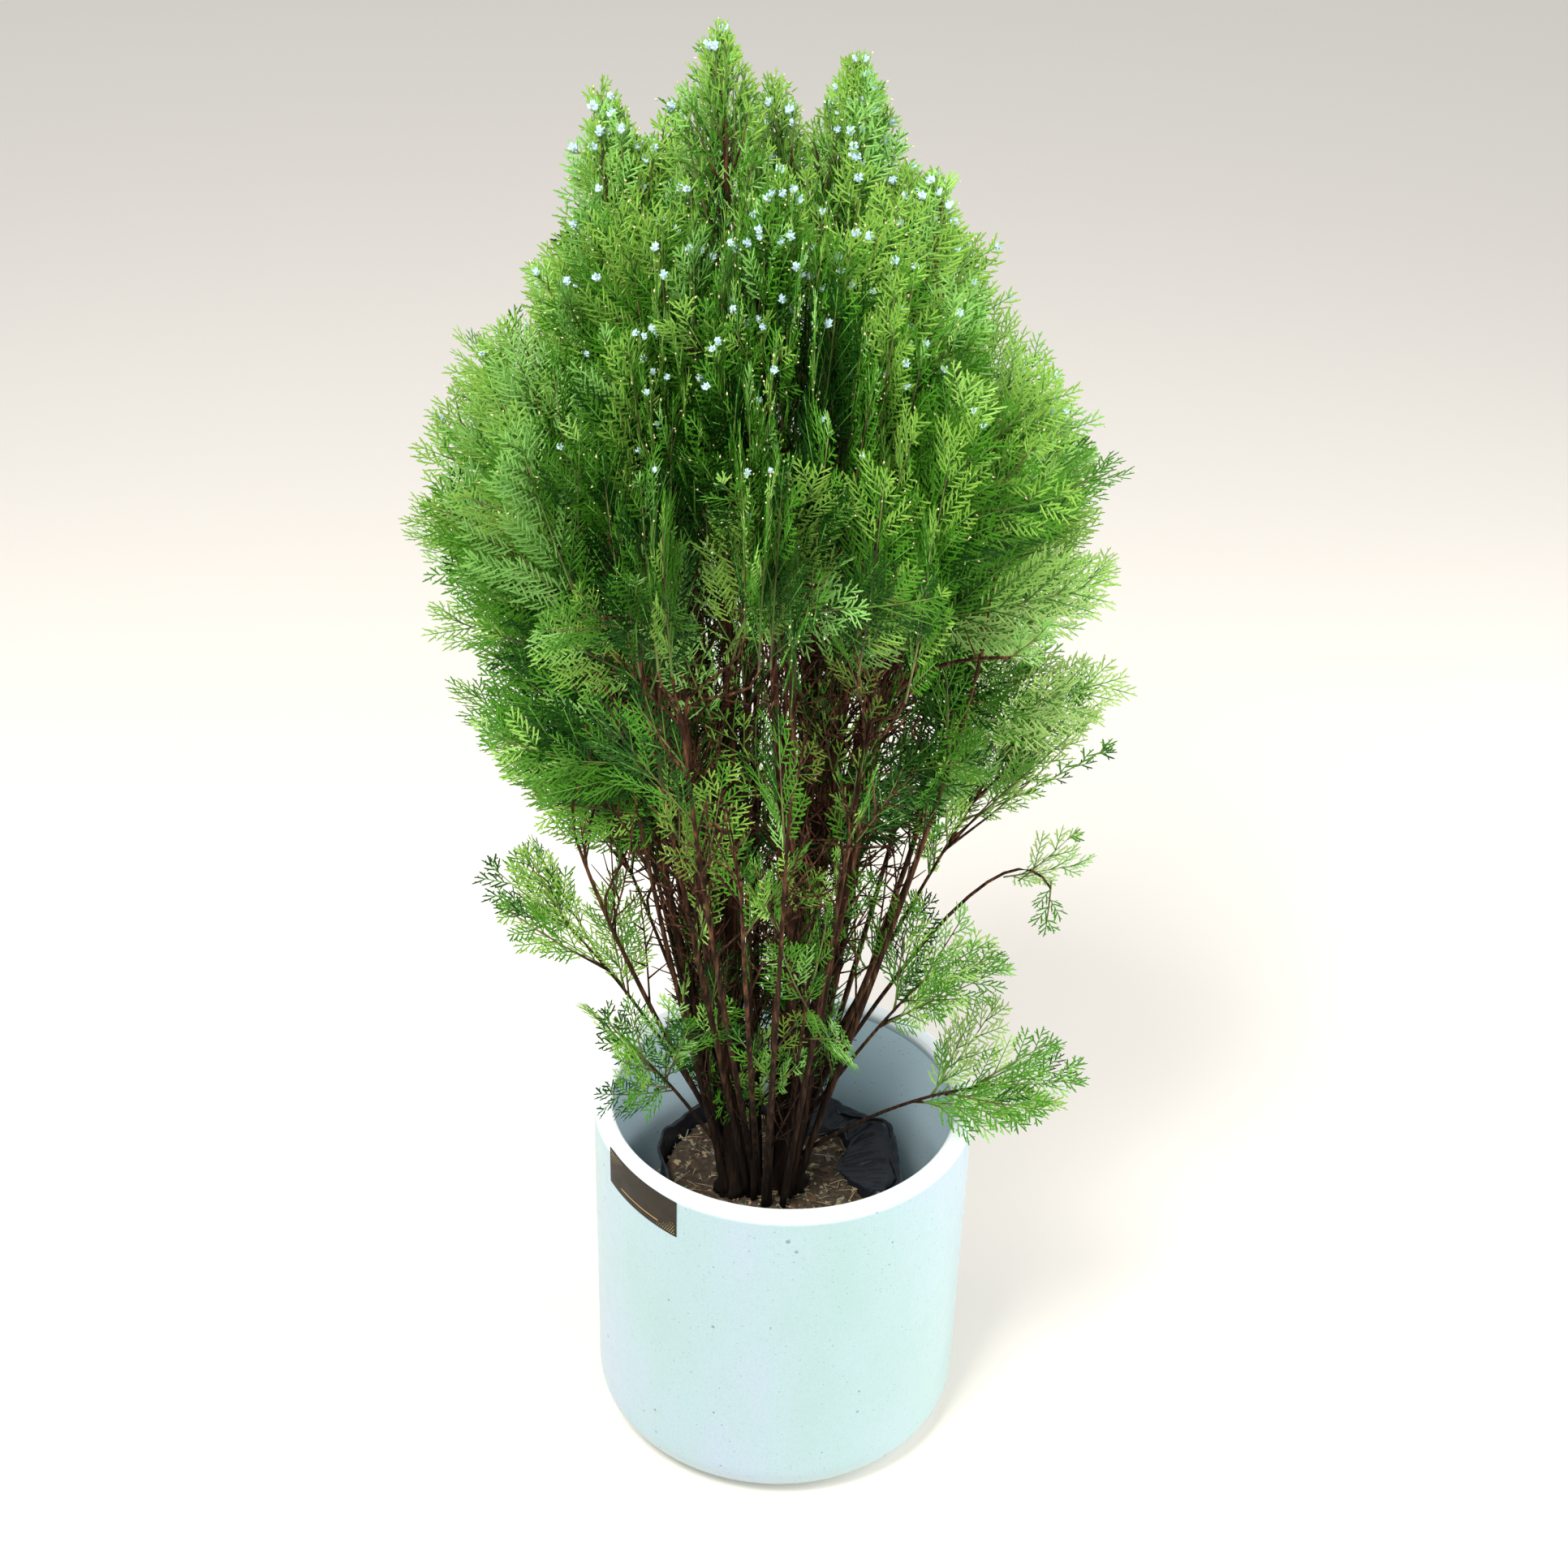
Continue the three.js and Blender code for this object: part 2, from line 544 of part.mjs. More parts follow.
function massSolid(mass, limbs) {
  const radiusAt = taper(STEM.rootRadius, STEM.tipRadius);
  const bar = limb(mass.stem, radiusAt, levelNormal(mass.out), STEM.sides, STEM.steps);
  const stem = cutClear(bar, limbs);
  const { twigs, sprays } = growthOf(mass);
  const branches = twigs.map(twigSolid).filter((twig) => !touches(twig, limbs));
  const blades = [];
  for (const spray of sprays) {
    const blade = fittingBlade(spray, mass, limbs, blades);
    if (blade) blades.push(blade);
  }
  return largestBody(wasm.Manifold.union([stem, ...branches, ...blades]));
}

// The whole object.
const group = new THREE.Group();
const add = (solid, name, material) => group.add(meshOf(solid, name, material));

add(planter(), "planter", MATERIALS.planter);
add(growBag(), "grow_bag", MATERIALS.film);
add(soilBall(), "soil", MATERIALS.soil);
add(labelPlate(), "label_plate", MATERIALS.label);
trunks.forEach((t) => add(trunkSolid(t, 0), t.name, MATERIALS.bark));
boughs.forEach((b, i) => add(boughSolid(b, i), `bough_${b.name}`, MATERIALS.bark));
for (const mass of masses) {
  const own = boughs.findIndex((b) => b.name === mass.name);
  const others = [...cutters, ...boughCutters.filter((_, i) => i !== own)];
  add(massSolid(mass, others), `foliage_${mass.name}`, MATERIALS.foliage);
}

export default group;
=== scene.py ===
# %% [markdown]
# # A young oriental arborvitae in a round planter
#
# This conifer holds its leaves in flat, fern-like sprays that stand on edge, so the crown is a lace of thin
# green strands and not a cloud of separate leaves. The imported model gives every limb and every mass of
# foliage its place. This script dresses that model: it grows fine sprays by the same rule that made the
# masses, gives the stems their bark, and finishes the planter, the bag and the soil.
#
# The frame comes first, because everything else is placed from it. Its box is kept, to be set beside the
# dressed plant's box at the end.

import math

import bpy
import numpy as np
from mathutils import Matrix, Vector, noise


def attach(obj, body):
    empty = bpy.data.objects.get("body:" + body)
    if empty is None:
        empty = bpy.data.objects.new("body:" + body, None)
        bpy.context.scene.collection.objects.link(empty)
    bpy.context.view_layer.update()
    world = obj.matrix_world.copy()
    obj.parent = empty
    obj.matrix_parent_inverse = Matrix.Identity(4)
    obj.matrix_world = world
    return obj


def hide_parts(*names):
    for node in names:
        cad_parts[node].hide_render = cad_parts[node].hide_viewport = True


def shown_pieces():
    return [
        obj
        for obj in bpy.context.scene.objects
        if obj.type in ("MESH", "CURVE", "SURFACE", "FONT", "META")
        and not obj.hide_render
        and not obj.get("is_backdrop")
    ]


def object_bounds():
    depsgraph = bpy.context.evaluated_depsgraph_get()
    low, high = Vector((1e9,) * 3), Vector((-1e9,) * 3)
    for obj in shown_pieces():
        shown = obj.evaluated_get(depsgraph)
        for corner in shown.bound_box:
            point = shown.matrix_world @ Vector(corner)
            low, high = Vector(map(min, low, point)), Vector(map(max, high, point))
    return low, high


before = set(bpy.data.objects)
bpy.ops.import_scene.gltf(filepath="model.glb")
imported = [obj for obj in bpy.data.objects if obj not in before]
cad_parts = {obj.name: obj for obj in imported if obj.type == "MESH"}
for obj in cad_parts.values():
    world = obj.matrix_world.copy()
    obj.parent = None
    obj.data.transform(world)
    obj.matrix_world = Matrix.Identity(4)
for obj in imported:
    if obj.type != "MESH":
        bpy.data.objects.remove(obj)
cad_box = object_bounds()
NODES = sorted(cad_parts)
MM = 0.001
print("nodes in the frame:", len(NODES))

# %% [markdown]
# ## Two small helpers for node trees
#
# Materials and Geometry Nodes are both trees of nodes. Written node by node they are long and hard to read,
# so a socket is wrapped in a small class that understands plain arithmetic, and a tree has one method that
# puts any other node in place.

# %% A socket that can stand in a Python expression
class Value:
    """An output socket. Arithmetic on it adds Math nodes to its tree."""

    def __init__(self, tree, socket):
        self.tree = tree
        self.socket = socket

    def math(self, operation, *values):
        return self.tree.put("ShaderNodeMath", {"operation": operation}, dict(enumerate(values)))

    def __add__(self, other):
        return self.math("ADD", self, other)

    def __rsub__(self, other):
        return self.math("SUBTRACT", other, self)

    def __mul__(self, other):
        return self.math("MULTIPLY", self, other)

    def __pow__(self, other):
        return self.math("POWER", self, other)

    def __lt__(self, other):
        return self.math("LESS_THAN", self, other)

    def __gt__(self, other):
        return self.math("GREATER_THAN", self, other)


# %% A tree with one way to put a node into it
class Tree:
    """A node tree. put() takes a node's type, its settings and the values or links of its sockets."""

    def __init__(self, nodes):
        self.nodes = nodes

    def put(self, kind, settings=None, values=None, out=0):
        node = self.nodes.nodes.new(kind)
        for name, value in (settings or {}).items():
            if name == "stops":
                set_stops(node.color_ramp, value)
            else:
                setattr(node, name, value)
        for key, value in (values or {}).items():
            if isinstance(value, Value):
                self.nodes.links.new(value.socket, node.inputs[key])
            else:
                node.inputs[key].default_value = value
        return Value(self, node.outputs[out])


def set_stops(ramp, stops):
    """Gives a colour ramp its stops, each a place from 0 to 1 and a colour."""
    ramp.elements[0].position, ramp.elements[0].color = stops[0][0], (*stops[0][1], 1)
    ramp.elements[1].position, ramp.elements[1].color = stops[-1][0], (*stops[-1][1], 1)
    for place, colour in stops[1:-1]:
        ramp.elements.new(place).color = (*colour, 1)


# %% [markdown]
# A material here is a Principled shader. What is the same all over the surface is set on the shader's own
# sockets, and only what changes over the surface is fed by nodes. Patterns read Object coordinates, which
# are metres in the model's frame, so a scale of 100 gives a pattern of about a centimetre.

# %% A material with its usual patterns
class Finish(Tree):
    """A material: a Principled shader and the patterns that feed it."""

    def __init__(self, name, colour, roughness, **steady):
        self.material = bpy.data.materials.new(name)
        self.material.use_nodes = True
        self.material.diffuse_color = (*colour, 1)
        super().__init__(self.material.node_tree)
        self.shader = self.nodes.nodes["Principled BSDF"]
        self.shader.inputs["Base Color"].default_value = (*colour, 1)
        self.shader.inputs["Roughness"].default_value = roughness
        for label, value in steady.items():
            self.shader.inputs[label.replace("_", " ")].default_value = value

    def place(self, stretch=(1, 1, 1)):
        where = self.put("ShaderNodeTexCoord", out="Object")
        return self.put("ShaderNodeMapping", values={"Vector": where, "Scale": stretch})

    def noise(self, place, scale, detail=3.0, out="Fac"):
        values = {"Vector": place, "Scale": scale, "Detail": detail}
        return self.put("ShaderNodeTexNoise", values=values, out=out)

    def cells(self, place, scale, out="Distance"):
        return self.put("ShaderNodeTexVoronoi", values={"Vector": place, "Scale": scale}, out=out)

    def ramp(self, value, stops):
        return self.put("ShaderNodeValToRGB", {"stops": stops}, {"Fac": value})

    def height_of(self, place):
        return self.put("ShaderNodeSeparateXYZ", values={0: place}, out="Z")

    def span(self, value, low, high, first, last):
        """Goes from first to last as the value goes from low to high, and stays there outside them."""
        values = {0: value, 1: low, 2: high, 3: first, 4: last}
        return self.put("ShaderNodeMapRange", {"clamp": True}, values)

    def specks(self, place, scale, channel, rarity, size):
        """1 in small round specks, one at most in each cell: the rarer, the fewer cells have one."""
        colour = self.cells(place, scale, "Color")
        chance = self.put("ShaderNodeSeparateColor", values={0: colour}, out=channel)
        return self.cells(place, scale) < (chance ** rarity) * size

    def mix(self, share, first, second):
        settings = {"data_type": "RGBA", "clamp_factor": True}
        colours = [c if isinstance(c, Value) else (*c, 1) for c in (first, second)]
        return self.put("ShaderNodeMix", settings, {0: share, 6: colours[0], 7: colours[1]}, 2)

    def feed(self, label, value):
        self.nodes.links.new(value.socket, self.shader.inputs[label])

    def two_tone(self, scale, detail, first, second):
        """Lets the colour wander between two tints."""
        self.feed("Base Color", self.mix(self.noise(self.place(), scale, detail), first, second))

    def sheen(self, scale, detail, spread, least):
        """Lets the roughness wander above a least value."""
        self.feed("Roughness", self.noise(self.place(), scale, detail) * spread + least)

    def relief(self, height, strength, distance):
        values = {"Height": height, "Strength": strength, "Distance": distance}
        self.feed("Normal", self.put("ShaderNodeBump", values=values))


# %% [markdown]
# ## Floor, light and camera
#
# The plant stands in soft daylight, with hardly a shadow. A bright, even sky does most of the work. Two large
# soft lamps at the front shape the planter and the sprays, and one low down at each side lights the inside of
# the planter and the sprays under the crown, as bright ground does outdoors. The camera looks down on the
# plant from eye level: it stands 1.8 metres away and 1.7 metres up, and leans a little.

# %% The floor and the light
FLOOR_COLOUR = (0.80, 0.745, 0.675)
SKY_COLOUR = (0.93, 0.965, 1.0)
SKY_STRENGTH = 0.72
FLOOR_HALF = 6.0
LAMPS = [
    dict(name="key", place=(-0.9, -1.5, 3.2), target=(0, 0, 0.6), size=1.0, power=108,
         colour=(1.0, 0.985, 0.95)),
    dict(name="fill", place=(2.2, -1.6, 1.4), target=(0, 0, 0.5), size=1.8, power=38),
    dict(name="right side", place=(1.9, 0.2, 0.95), target=(0, 0, 0.4), size=1.4, power=21),
    dict(name="left side", place=(-1.9, 0.1, 0.95), target=(0, 0, 0.4), size=1.4, power=12),
]


def linked(name, data):
    """A new object in the scene, at the origin."""
    holder = bpy.data.objects.new(name, data)
    bpy.context.scene.collection.objects.link(holder)
    return holder


def floor():
    mesh = bpy.data.meshes.new("floor")
    around = [(-1, -1), (1, -1), (1, 1), (-1, 1)]
    mesh.from_pydata([(x * FLOOR_HALF, y * FLOOR_HALF, 0) for x, y in around], [], [(0, 1, 2, 3)])
    mesh.materials.append(Finish("floor", FLOOR_COLOUR, 0.9).material)
    piece = linked("floor", mesh)
    piece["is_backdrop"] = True


def lamp(name, place, target, size, power, colour=(1, 1, 1)):
    light = bpy.data.lights.new(name, "AREA")
    light.size, light.energy, light.color = size, power, colour
    holder = linked(name, light)
    holder.location = place
    holder.rotation_euler = (Vector(target) - Vector(place)).to_track_quat("-Z", "Y").to_euler()


world = bpy.data.worlds.new("sky")
world.use_nodes = True
world.node_tree.nodes["Background"].inputs["Color"].default_value = (*SKY_COLOUR, 1)
world.node_tree.nodes["Background"].inputs["Strength"].default_value = SKY_STRENGTH
bpy.context.scene.world = world
bpy.context.scene.view_settings.view_transform = "Standard"
floor()
for own in LAMPS:
    lamp(**own)
print("lamps:", len(LAMPS))

# %% The camera
CAMERA_PLACE = (-0.0077, -1.797, 1.687)
CAMERA_PITCH = math.radians(31.3)
CAMERA_ROLL = math.radians(1.8)
FOCAL_PIXELS = 3450
FRAME_PIXELS = 1932
SENSOR = 36.0


def camera():
    ahead = Vector((0, math.cos(CAMERA_PITCH), -math.sin(CAMERA_PITCH)))
    level = Vector((1, 0, 0))
    above = level.cross(ahead)
    right = math.cos(CAMERA_ROLL) * level + math.sin(CAMERA_ROLL) * above
    up = math.cos(CAMERA_ROLL) * above - math.sin(CAMERA_ROLL) * level
    data = bpy.data.cameras.new("camera")
    data.sensor_width = SENSOR
    data.lens = FOCAL_PIXELS / FRAME_PIXELS * SENSOR
    data.clip_start, data.clip_end = 0.05, 50
    holder = linked("camera", data)
    turn = Matrix((right, up, -ahead)).transposed().to_4x4()
    holder.matrix_world = Matrix.Translation(CAMERA_PLACE) @ turn
    bpy.context.scene.camera = holder


camera()
print("focal length:", round(bpy.context.scene.camera.data.lens, 1), "mm")

# %% [markdown]
# ## Meshes from arrays
#
# Everything below is first worked out in millimetres, as arrays of points, and becomes a mesh in one go. A
# finished piece rides on the plant's one body, and may stand for nodes of the model, which are then not
# shown.

# %% Pieces from points and faces
def piece_of(mesh, replaces=()):
    """Links a finished mesh as a piece of the object, under the mesh's own name."""
    return settle(linked(mesh.name, mesh), replaces)


def settle(piece, replaces=()):
    """Puts a piece on the plant's body, and hides the model's nodes that it stands for."""
    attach(piece, "root")
    if replaces:
        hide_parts(*replaces)
    print(f"{piece.name}: {len(piece.data.polygons)} faces")
    return piece


def mesh_of(name, points, faces, material=None, smooth=True):
    """A mesh from points in millimetres."""
    mesh = bpy.data.meshes.new(name)
    mesh.from_pydata((np.asarray(points, float).reshape(-1, 3) * MM).tolist(), [], faces)
    if material:
        mesh.materials.append(material)
    mesh.polygons.foreach_set("use_smooth", [smooth] * len(mesh.polygons))
    mesh.update()
    return mesh


def roughness_at(points, scale, octaves=3):
    """Fractal noise at each point, about -1 to 1. The scale is in features per millimetre."""
    return np.array([noise.fractal(Vector(p) * scale, 0.9, 2.0, octaves) for p in points.reshape(-1, 3)])


def lerp(a, b, t):
    return a + (b - a) * t


# %% Round bodies from an outline
def arc(r, z, radius, start, end, steps):
    angles = np.radians(np.linspace(start, end, steps + 1))
    return [(r + radius * math.cos(a), z + radius * math.sin(a)) for a in angles]


def rings_of(outline, sides):
    """The outline, [radius, height] pairs between its two poles, turned round the vertical axis."""
    angles = np.arange(sides) * (2 * math.pi / sides)
    radius, height = np.array(outline, float).T
    rings = np.zeros((len(outline), sides, 3))
    rings[:, :, 0] = radius[:, None] * np.cos(angles)
    rings[:, :, 1] = radius[:, None] * np.sin(angles)
    rings[:, :, 2] = height[:, None]
    return rings, angles


def band(low, high, sides):
    """Quads between two rings, each given by the number of its first point."""
    return [(low + j, low + (j + 1) % sides, high + (j + 1) % sides, high + j) for j in range(sides)]


def closed_rings(name, rings, low_pole, high_pole, material=None, smooth=True):
    """A closed mesh from rings of points, with a pole at each end."""
    count, sides = rings.shape[:2]
    points = np.vstack([rings.reshape(-1, 3), [low_pole, high_pole]])
    around = [(j, (j + 1) % sides) for j in range(sides)]
    faces = [(count * sides, k, j) for j, k in around]
    for i in range(count - 1):
        faces += band(i * sides, (i + 1) * sides, sides)
    last = (count - 1) * sides
    faces += [(count * sides + 1, last + j, last + k) for j, k in around]
    return mesh_of(name, points, faces, material, smooth)


# %% [markdown]
# ## The planter
#
# The real planter is a thick moulded shell, nearly straight, with a generous round at its foot and a soft
# rim about as wide as a thumb. It is a pale blue-white, flecked with fine dark specks, with faint greenish
# clouds from the water that has run down it. It could be a cylinder with bevels, but an outline turned
# round the axis gives every round its true radius. The outline is the model's own, with more steps.

# %% The planter's shell
POT = dict(height=300, rim=152.5, foot=149.5, wall=15.3, floor=16, round=34, lip=4)
SHELL = dict(sides=160, waver=0.45, waver_scale=0.011)


def planter_outline():
    inner, inner_foot = POT["rim"] - POT["wall"], POT["foot"] - POT["wall"]
    inner_round = POT["round"] - POT["wall"] / 2
    top = POT["height"] - POT["lip"]
    wall = [(POT["foot"] + (POT["rim"] - POT["foot"]) * s, POT["round"] + (top - POT["round"]) * s)
            for s in np.linspace(0.04, 0.98, 18)]
    inside = [(inner + (inner_foot - inner) * s, top - 4 + (POT["floor"] + inner_round - top + 4) * s)
              for s in np.linspace(0, 0.97, 14)]
    return [
        *[(r, 0) for r in (30, 70, 105)],
        *arc(POT["foot"] - POT["round"], POT["round"], POT["round"], -88, 0, 12),
        *wall,
        *arc(POT["rim"] - POT["lip"], top, POT["lip"], 0, 90, 6),
        *[(POT["rim"] - s, POT["height"] + 0.25) for s in (6, 8, 10)],
        *arc(inner + POT["lip"], top, POT["lip"], 90, 180, 6),
        *inside,
        *arc(inner_foot - inner_round, POT["floor"] + inner_round, inner_round, 0, -88, 8),
        *[(r, POT["floor"]) for r in (90, 50, 20)],
    ]


# %% [markdown]
# The specks come from a pattern of random cells: each cell has a point at its middle, and where the distance
# to it is small there is a speck. A second, random value of the same cell decides how large the speck is, so
# most cells stay bare. The inner wall, which is known by its distance from the axis, is lighter and bluer, to
# make up for the shade in there. The top of the rim is painted nearly white and kept free of specks, as a
# painted highlight where the light falls on it.

# %% The planter's finish
INNER_WALL = dict(within=0.1395, below=0.292)
RIM_PAINTED_HIGHLIGHT = (0.293, 0.2985)
FOOT_BAND = (0.0, 0.03)


def planter_finish():
    f = Finish("planter", (0.72, 0.83, 0.86), 0.36, Coat_Weight=0.25, Coat_Roughness=0.2)
    place = f.place()
    clouds = f.noise(f.place((1, 1, 0.45)), 9, 4)
    shell = f.ramp(clouds, [(0.30, (0.40, 0.49, 0.60)), (0.50, (0.36, 0.51, 0.53)),
                            (0.72, (0.32, 0.49, 0.46))])
    shell = f.mix(f.noise(place, 160, 2) * 0.3, shell, (0.46, 0.57, 0.62))
    grain = f.ramp(f.noise(place, 620, 2), [(0.5, (0, 0, 0)), (0.64, (1, 1, 1))])
    shell = f.mix(grain * 0.3, shell, (0.27, 0.40, 0.44))
    height = f.height_of(place)
    across = f.put("ShaderNodeVectorMath", {"operation": "LENGTH"}, {0: f.place((1, 1, 0))}, "Value")
    within = (across < INNER_WALL["within"]) * (height < INNER_WALL["below"])
    shell = f.mix(within * 0.95, shell, (0.72, 0.92, 1.0))
    # Painted highlight: the top of the rim goes nearly white, where the light falls on it.
    rim = f.span(height, *RIM_PAINTED_HIGHLIGHT, 0.0, 1.0)
    shell = f.mix(rim * 0.8, shell, (0.93, 0.95, 0.96))
    shell = f.mix(f.span(height, *FOOT_BAND, 0.35, 0.0) * clouds, shell, (0.45, 0.44, 0.38))
    specks = f.specks(place, 260, "Red", rarity=2, size=0.22)
    blots = f.specks(place, 105, "Green", rarity=8, size=0.20)
    shell = f.mix(specks * 0.45 * (1 - rim), shell, (0.14, 0.20, 0.24))
    shell = f.mix(blots * 0.6 * (1 - rim), shell, (0.08, 0.12, 0.18))
    f.feed("Base Color", shell)
    f.sheen(60, 2, spread=0.2, least=0.28)
    f.relief(f.noise(place, 130, 3), 0.12, 0.0008)
    return f.material


def planter():
    """The outline turned round the axis, with a wall that wavers by less than half a millimetre."""
    rings, _ = rings_of(planter_outline(), SHELL["sides"])
    flat = rings.reshape(-1, 3)
    out = np.maximum(np.hypot(flat[:, 0], flat[:, 1]), 1)[:, None]
    sway = roughness_at(flat, SHELL["waver_scale"], 2) * SHELL["waver"] * np.clip(flat[:, 2] / 60, 0, 1)
    flat[:, :2] += flat[:, :2] / out * sway[:, None]
    mesh = closed_rings("planter_shell", rings, (0, 0, 0), (0, 0, POT["floor"]), planter_finish())
    piece_of(mesh, ["planter"])


planter()

# %% [markdown]
# ## The plain plate
#
# A thin dark plate is bent round the wall below the rim, its left end a little higher. It carries nothing
# but two patches of small gold dots in opposite corners and a thin line along its foot. The plate is a grid
# of points bent onto the wall, and the dots are real discs, set out by Geometry Nodes further down.

# %% Where a point of the plate lies on the wall
PLATE = dict(width=80, height=34, thick=0.6, azimuth=223.4, middle=281, drop=7, gap=0.3, columns=33, rows=5)


def on_plate(along, up, proud):
    """A point of the plate: along and up from its middle, and proud of the planter's wall."""
    z = PLATE["middle"] + up - along / PLATE["width"] * PLATE["drop"]
    share = (z - POT["round"]) / (POT["height"] - POT["round"])
    r = POT["foot"] + (POT["rim"] - POT["foot"]) * share + PLATE["gap"] + proud
    angle = math.radians(PLATE["azimuth"]) + along / POT["rim"]
    return np.array([r * math.cos(angle), r * math.sin(angle), z])


# %% The plate itself
def plate():
    columns, rows = PLATE["columns"], PLATE["rows"]
    last = columns - 1
    points = [on_plate((i / last - 0.5) * PLATE["width"], (j / (rows - 1) - 0.5) * PLATE["height"],
                       PLATE["thick"] * side)
              for side in (0, 1) for i in range(columns) for j in range(rows)]

    def at(side, i, j):
        return (side * columns + i) * rows + j

    faces = []
    for i in range(last):
        for j in range(rows - 1):
            faces.append((at(1, i, j), at(1, i + 1, j), at(1, i + 1, j + 1), at(1, i, j + 1)))
            faces.append((at(0, i, j), at(0, i, j + 1), at(0, i + 1, j + 1), at(0, i + 1, j)))
        for j, flip in ((0, False), (rows - 1, True)):
            edge = [at(0, i, j), at(0, i + 1, j), at(1, i + 1, j), at(1, i, j)]
            faces.append(tuple(edge[::-1] if flip else edge))
    for j in range(rows - 1):
        faces.append((at(0, 0, j), at(1, 0, j), at(1, 0, j + 1), at(0, 0, j + 1)))
        faces.append((at(0, last, j), at(0, last, j + 1), at(1, last, j + 1), at(1, last, j)))
    f = Finish("plate", (0.035, 0.026, 0.014), 0.5, Specular_IOR_Level=0.2)
    f.two_tone(70, 4, (0.012, 0.009, 0.006), (0.034, 0.026, 0.014))
    f.sheen(90, 2, spread=0.2, least=0.42)
    piece_of(mesh_of("plate", points, faces, f.material, smooth=False), ["label_plate"])


plate()

# %% [markdown]
# ## The grow bag
#
# The plant still stands in its black nursery bag. The film is thin and crumpled, with soft folds that run
# down from its rim, and towards the back and right the rim is folded inwards and lies on the soil. A
# simulation could drape it, but the film is stiffened by the soil behind it, so a turned outline with
# folds from a few waves and fractal noise gives the same look and stays where the model's bag is.

# %% The bag's outline
BAG = dict(radius=103, height=216, wave=5, rim_dip=7, centre_y=7, flap=56, flap_azimuth=34)
FILM = dict(sides=240, fold=2.6, crease=1.0, lip=7, slack=5)
SOIL_TOP = 216
GAP = 0.3


def fold_share(angles):
    """1 where the rim is folded inwards, at the back and right."""
    return np.clip(np.cos(angles - math.radians(BAG["flap_azimuth"])) * 1.5, 0, 1)


def rim_wave(angle):
    return np.sin(3 * angle + 0.6) * 0.6 + np.sin(7 * angle) * 0.4


def bag_outline():
    """The bag's outline, and for each of its points how far down the inner side it lies, or 0."""
    foot = POT["floor"] + GAP
    rim = foot + BAG["height"]
    outer = [(BAG["radius"] - 14, foot), (BAG["radius"] - 3, foot + 14)]
    outer += [(BAG["radius"] - 1 - 2 * s, foot + 14 + (rim - foot - 20) * s) for s in np.linspace(0.1, 1, 18)]
    crest = arc(BAG["radius"] - 1.3, rim - 1.6, 1.4, 0, 180, 6)
    shares = np.linspace(0.06, 1, 18)
    inner = [(BAG["radius"] - 3.2 - 1.5 * s, rim - 3 - 22 * s) for s in shares]
    low = [(BAG["radius"] - 6, 120), (BAG["radius"] - 6, foot + 16), (BAG["radius"] - 18, foot + 2.5)]
    outline = [(40, foot), *outer, *crest, *inner, *low, (40, foot + 2.5)]
    down = np.zeros(len(outline))
    down[1 + len(outer) + len(crest):-4] = shares
    return outline, down[:, None]


# %% The film's folds
def bag_rings():
    """The bag's points. Every push is in millimetres outwards, and the flap is laid on the soil last."""
    outline, down = bag_outline()
    rings, angles = rings_of(outline, FILM["sides"])
    rim = POT["floor"] + GAP + BAG["height"]
    height = rings[:, :, 2]
    rise = np.clip((height - SOIL_TOP + 8) / (rim - SOIL_TOP + 8), 0, 1)
    folds = roughness_at(rings * (1, 1, 0.35), 0.045, 3).reshape(height.shape)
    creases = 1 - np.abs(roughness_at(rings * (1, 1, 0.8), 0.028, 2).reshape(height.shape)) * 2
    loose = np.clip((height - 150) / 60, 0.15, 1)
    push = rise * BAG["wave"] * rim_wave(angles) + (folds * FILM["fold"] + creases * FILM["crease"]) * loose
    lip = np.clip((height - (rim - FILM["lip"])) / FILM["lip"], 0, 1)
    turned_in = fold_share(angles)[None, :]
    fold = turned_in * np.clip(rise * 1.6, 0, 1)
    push -= fold * (5 + lip * 15) * (0.6 + 0.4 * np.sin(9 * angles)[None, :])
    flap = turned_in * (down > 0)
    push -= flap * BAG["flap"] * down ** 0.8 * (0.8 + 0.2 * np.sin(5 * angles + 1)[None, :])
    radius = np.maximum(np.hypot(rings[:, :, 0], rings[:, :, 1]), 1)
    limit = BAG["radius"] + FILM["slack"] - radius
    factor = 1 + np.minimum(push, limit) / radius * np.clip(radius / 60, 0, 1)
    rings[:, :, :2] *= factor[:, :, None]
    rings[:, :, 2] += rise * (BAG["rim_dip"] * (np.sin(2 * angles + 0.4) - 0.3) + folds * 2) - fold * lip * 6
    laid = SOIL_TOP + 4.5 + (rim - SOIL_TOP - 8) * (1 - down) ** 1.5 - 90 * np.clip(down - 0.88, 0, 1)
    laid = laid + 4 * down * (1 - down) * (folds * 9 + creases * 3)
    rings[:, :, 2] = np.where(flap > 0, lerp(rings[:, :, 2], laid, flap), rings[:, :, 2])
    rings[:, :, 1] += BAG["centre_y"]
    return rings


# %% The bag's film
def bag():
    f = Finish("film", (0.008, 0.009, 0.013), 0.34, Specular_IOR_Level=0.3)
    f.two_tone(26, 5, (0.003, 0.004, 0.006), (0.012, 0.013, 0.019))
    f.sheen(40, 3, spread=0.3, least=0.18)
    f.relief(f.noise(f.place((1, 1, 0.5)), 75, 5), 0.5, 0.004)
    foot, centre = POT["floor"] + GAP, BAG["centre_y"]
    mesh = closed_rings("grow_bag_film", bag_rings(), (0, centre, foot), (0, centre, foot + 2.5), f.material)
    piece_of(mesh, ["grow_bag"])


bag()

# %% [markdown]
# ## The soil
#
# Moist dark soil shows between bits of dry litter: flakes of old leaves, straw and fallen sprays, tan and
# brown. The soil is a turned body with a rough top. The litter lies on it in hundreds of small scraps, so it
# is left to Geometry Nodes below.

# %% The soil ball
SOIL = dict(side=97, dip=5)


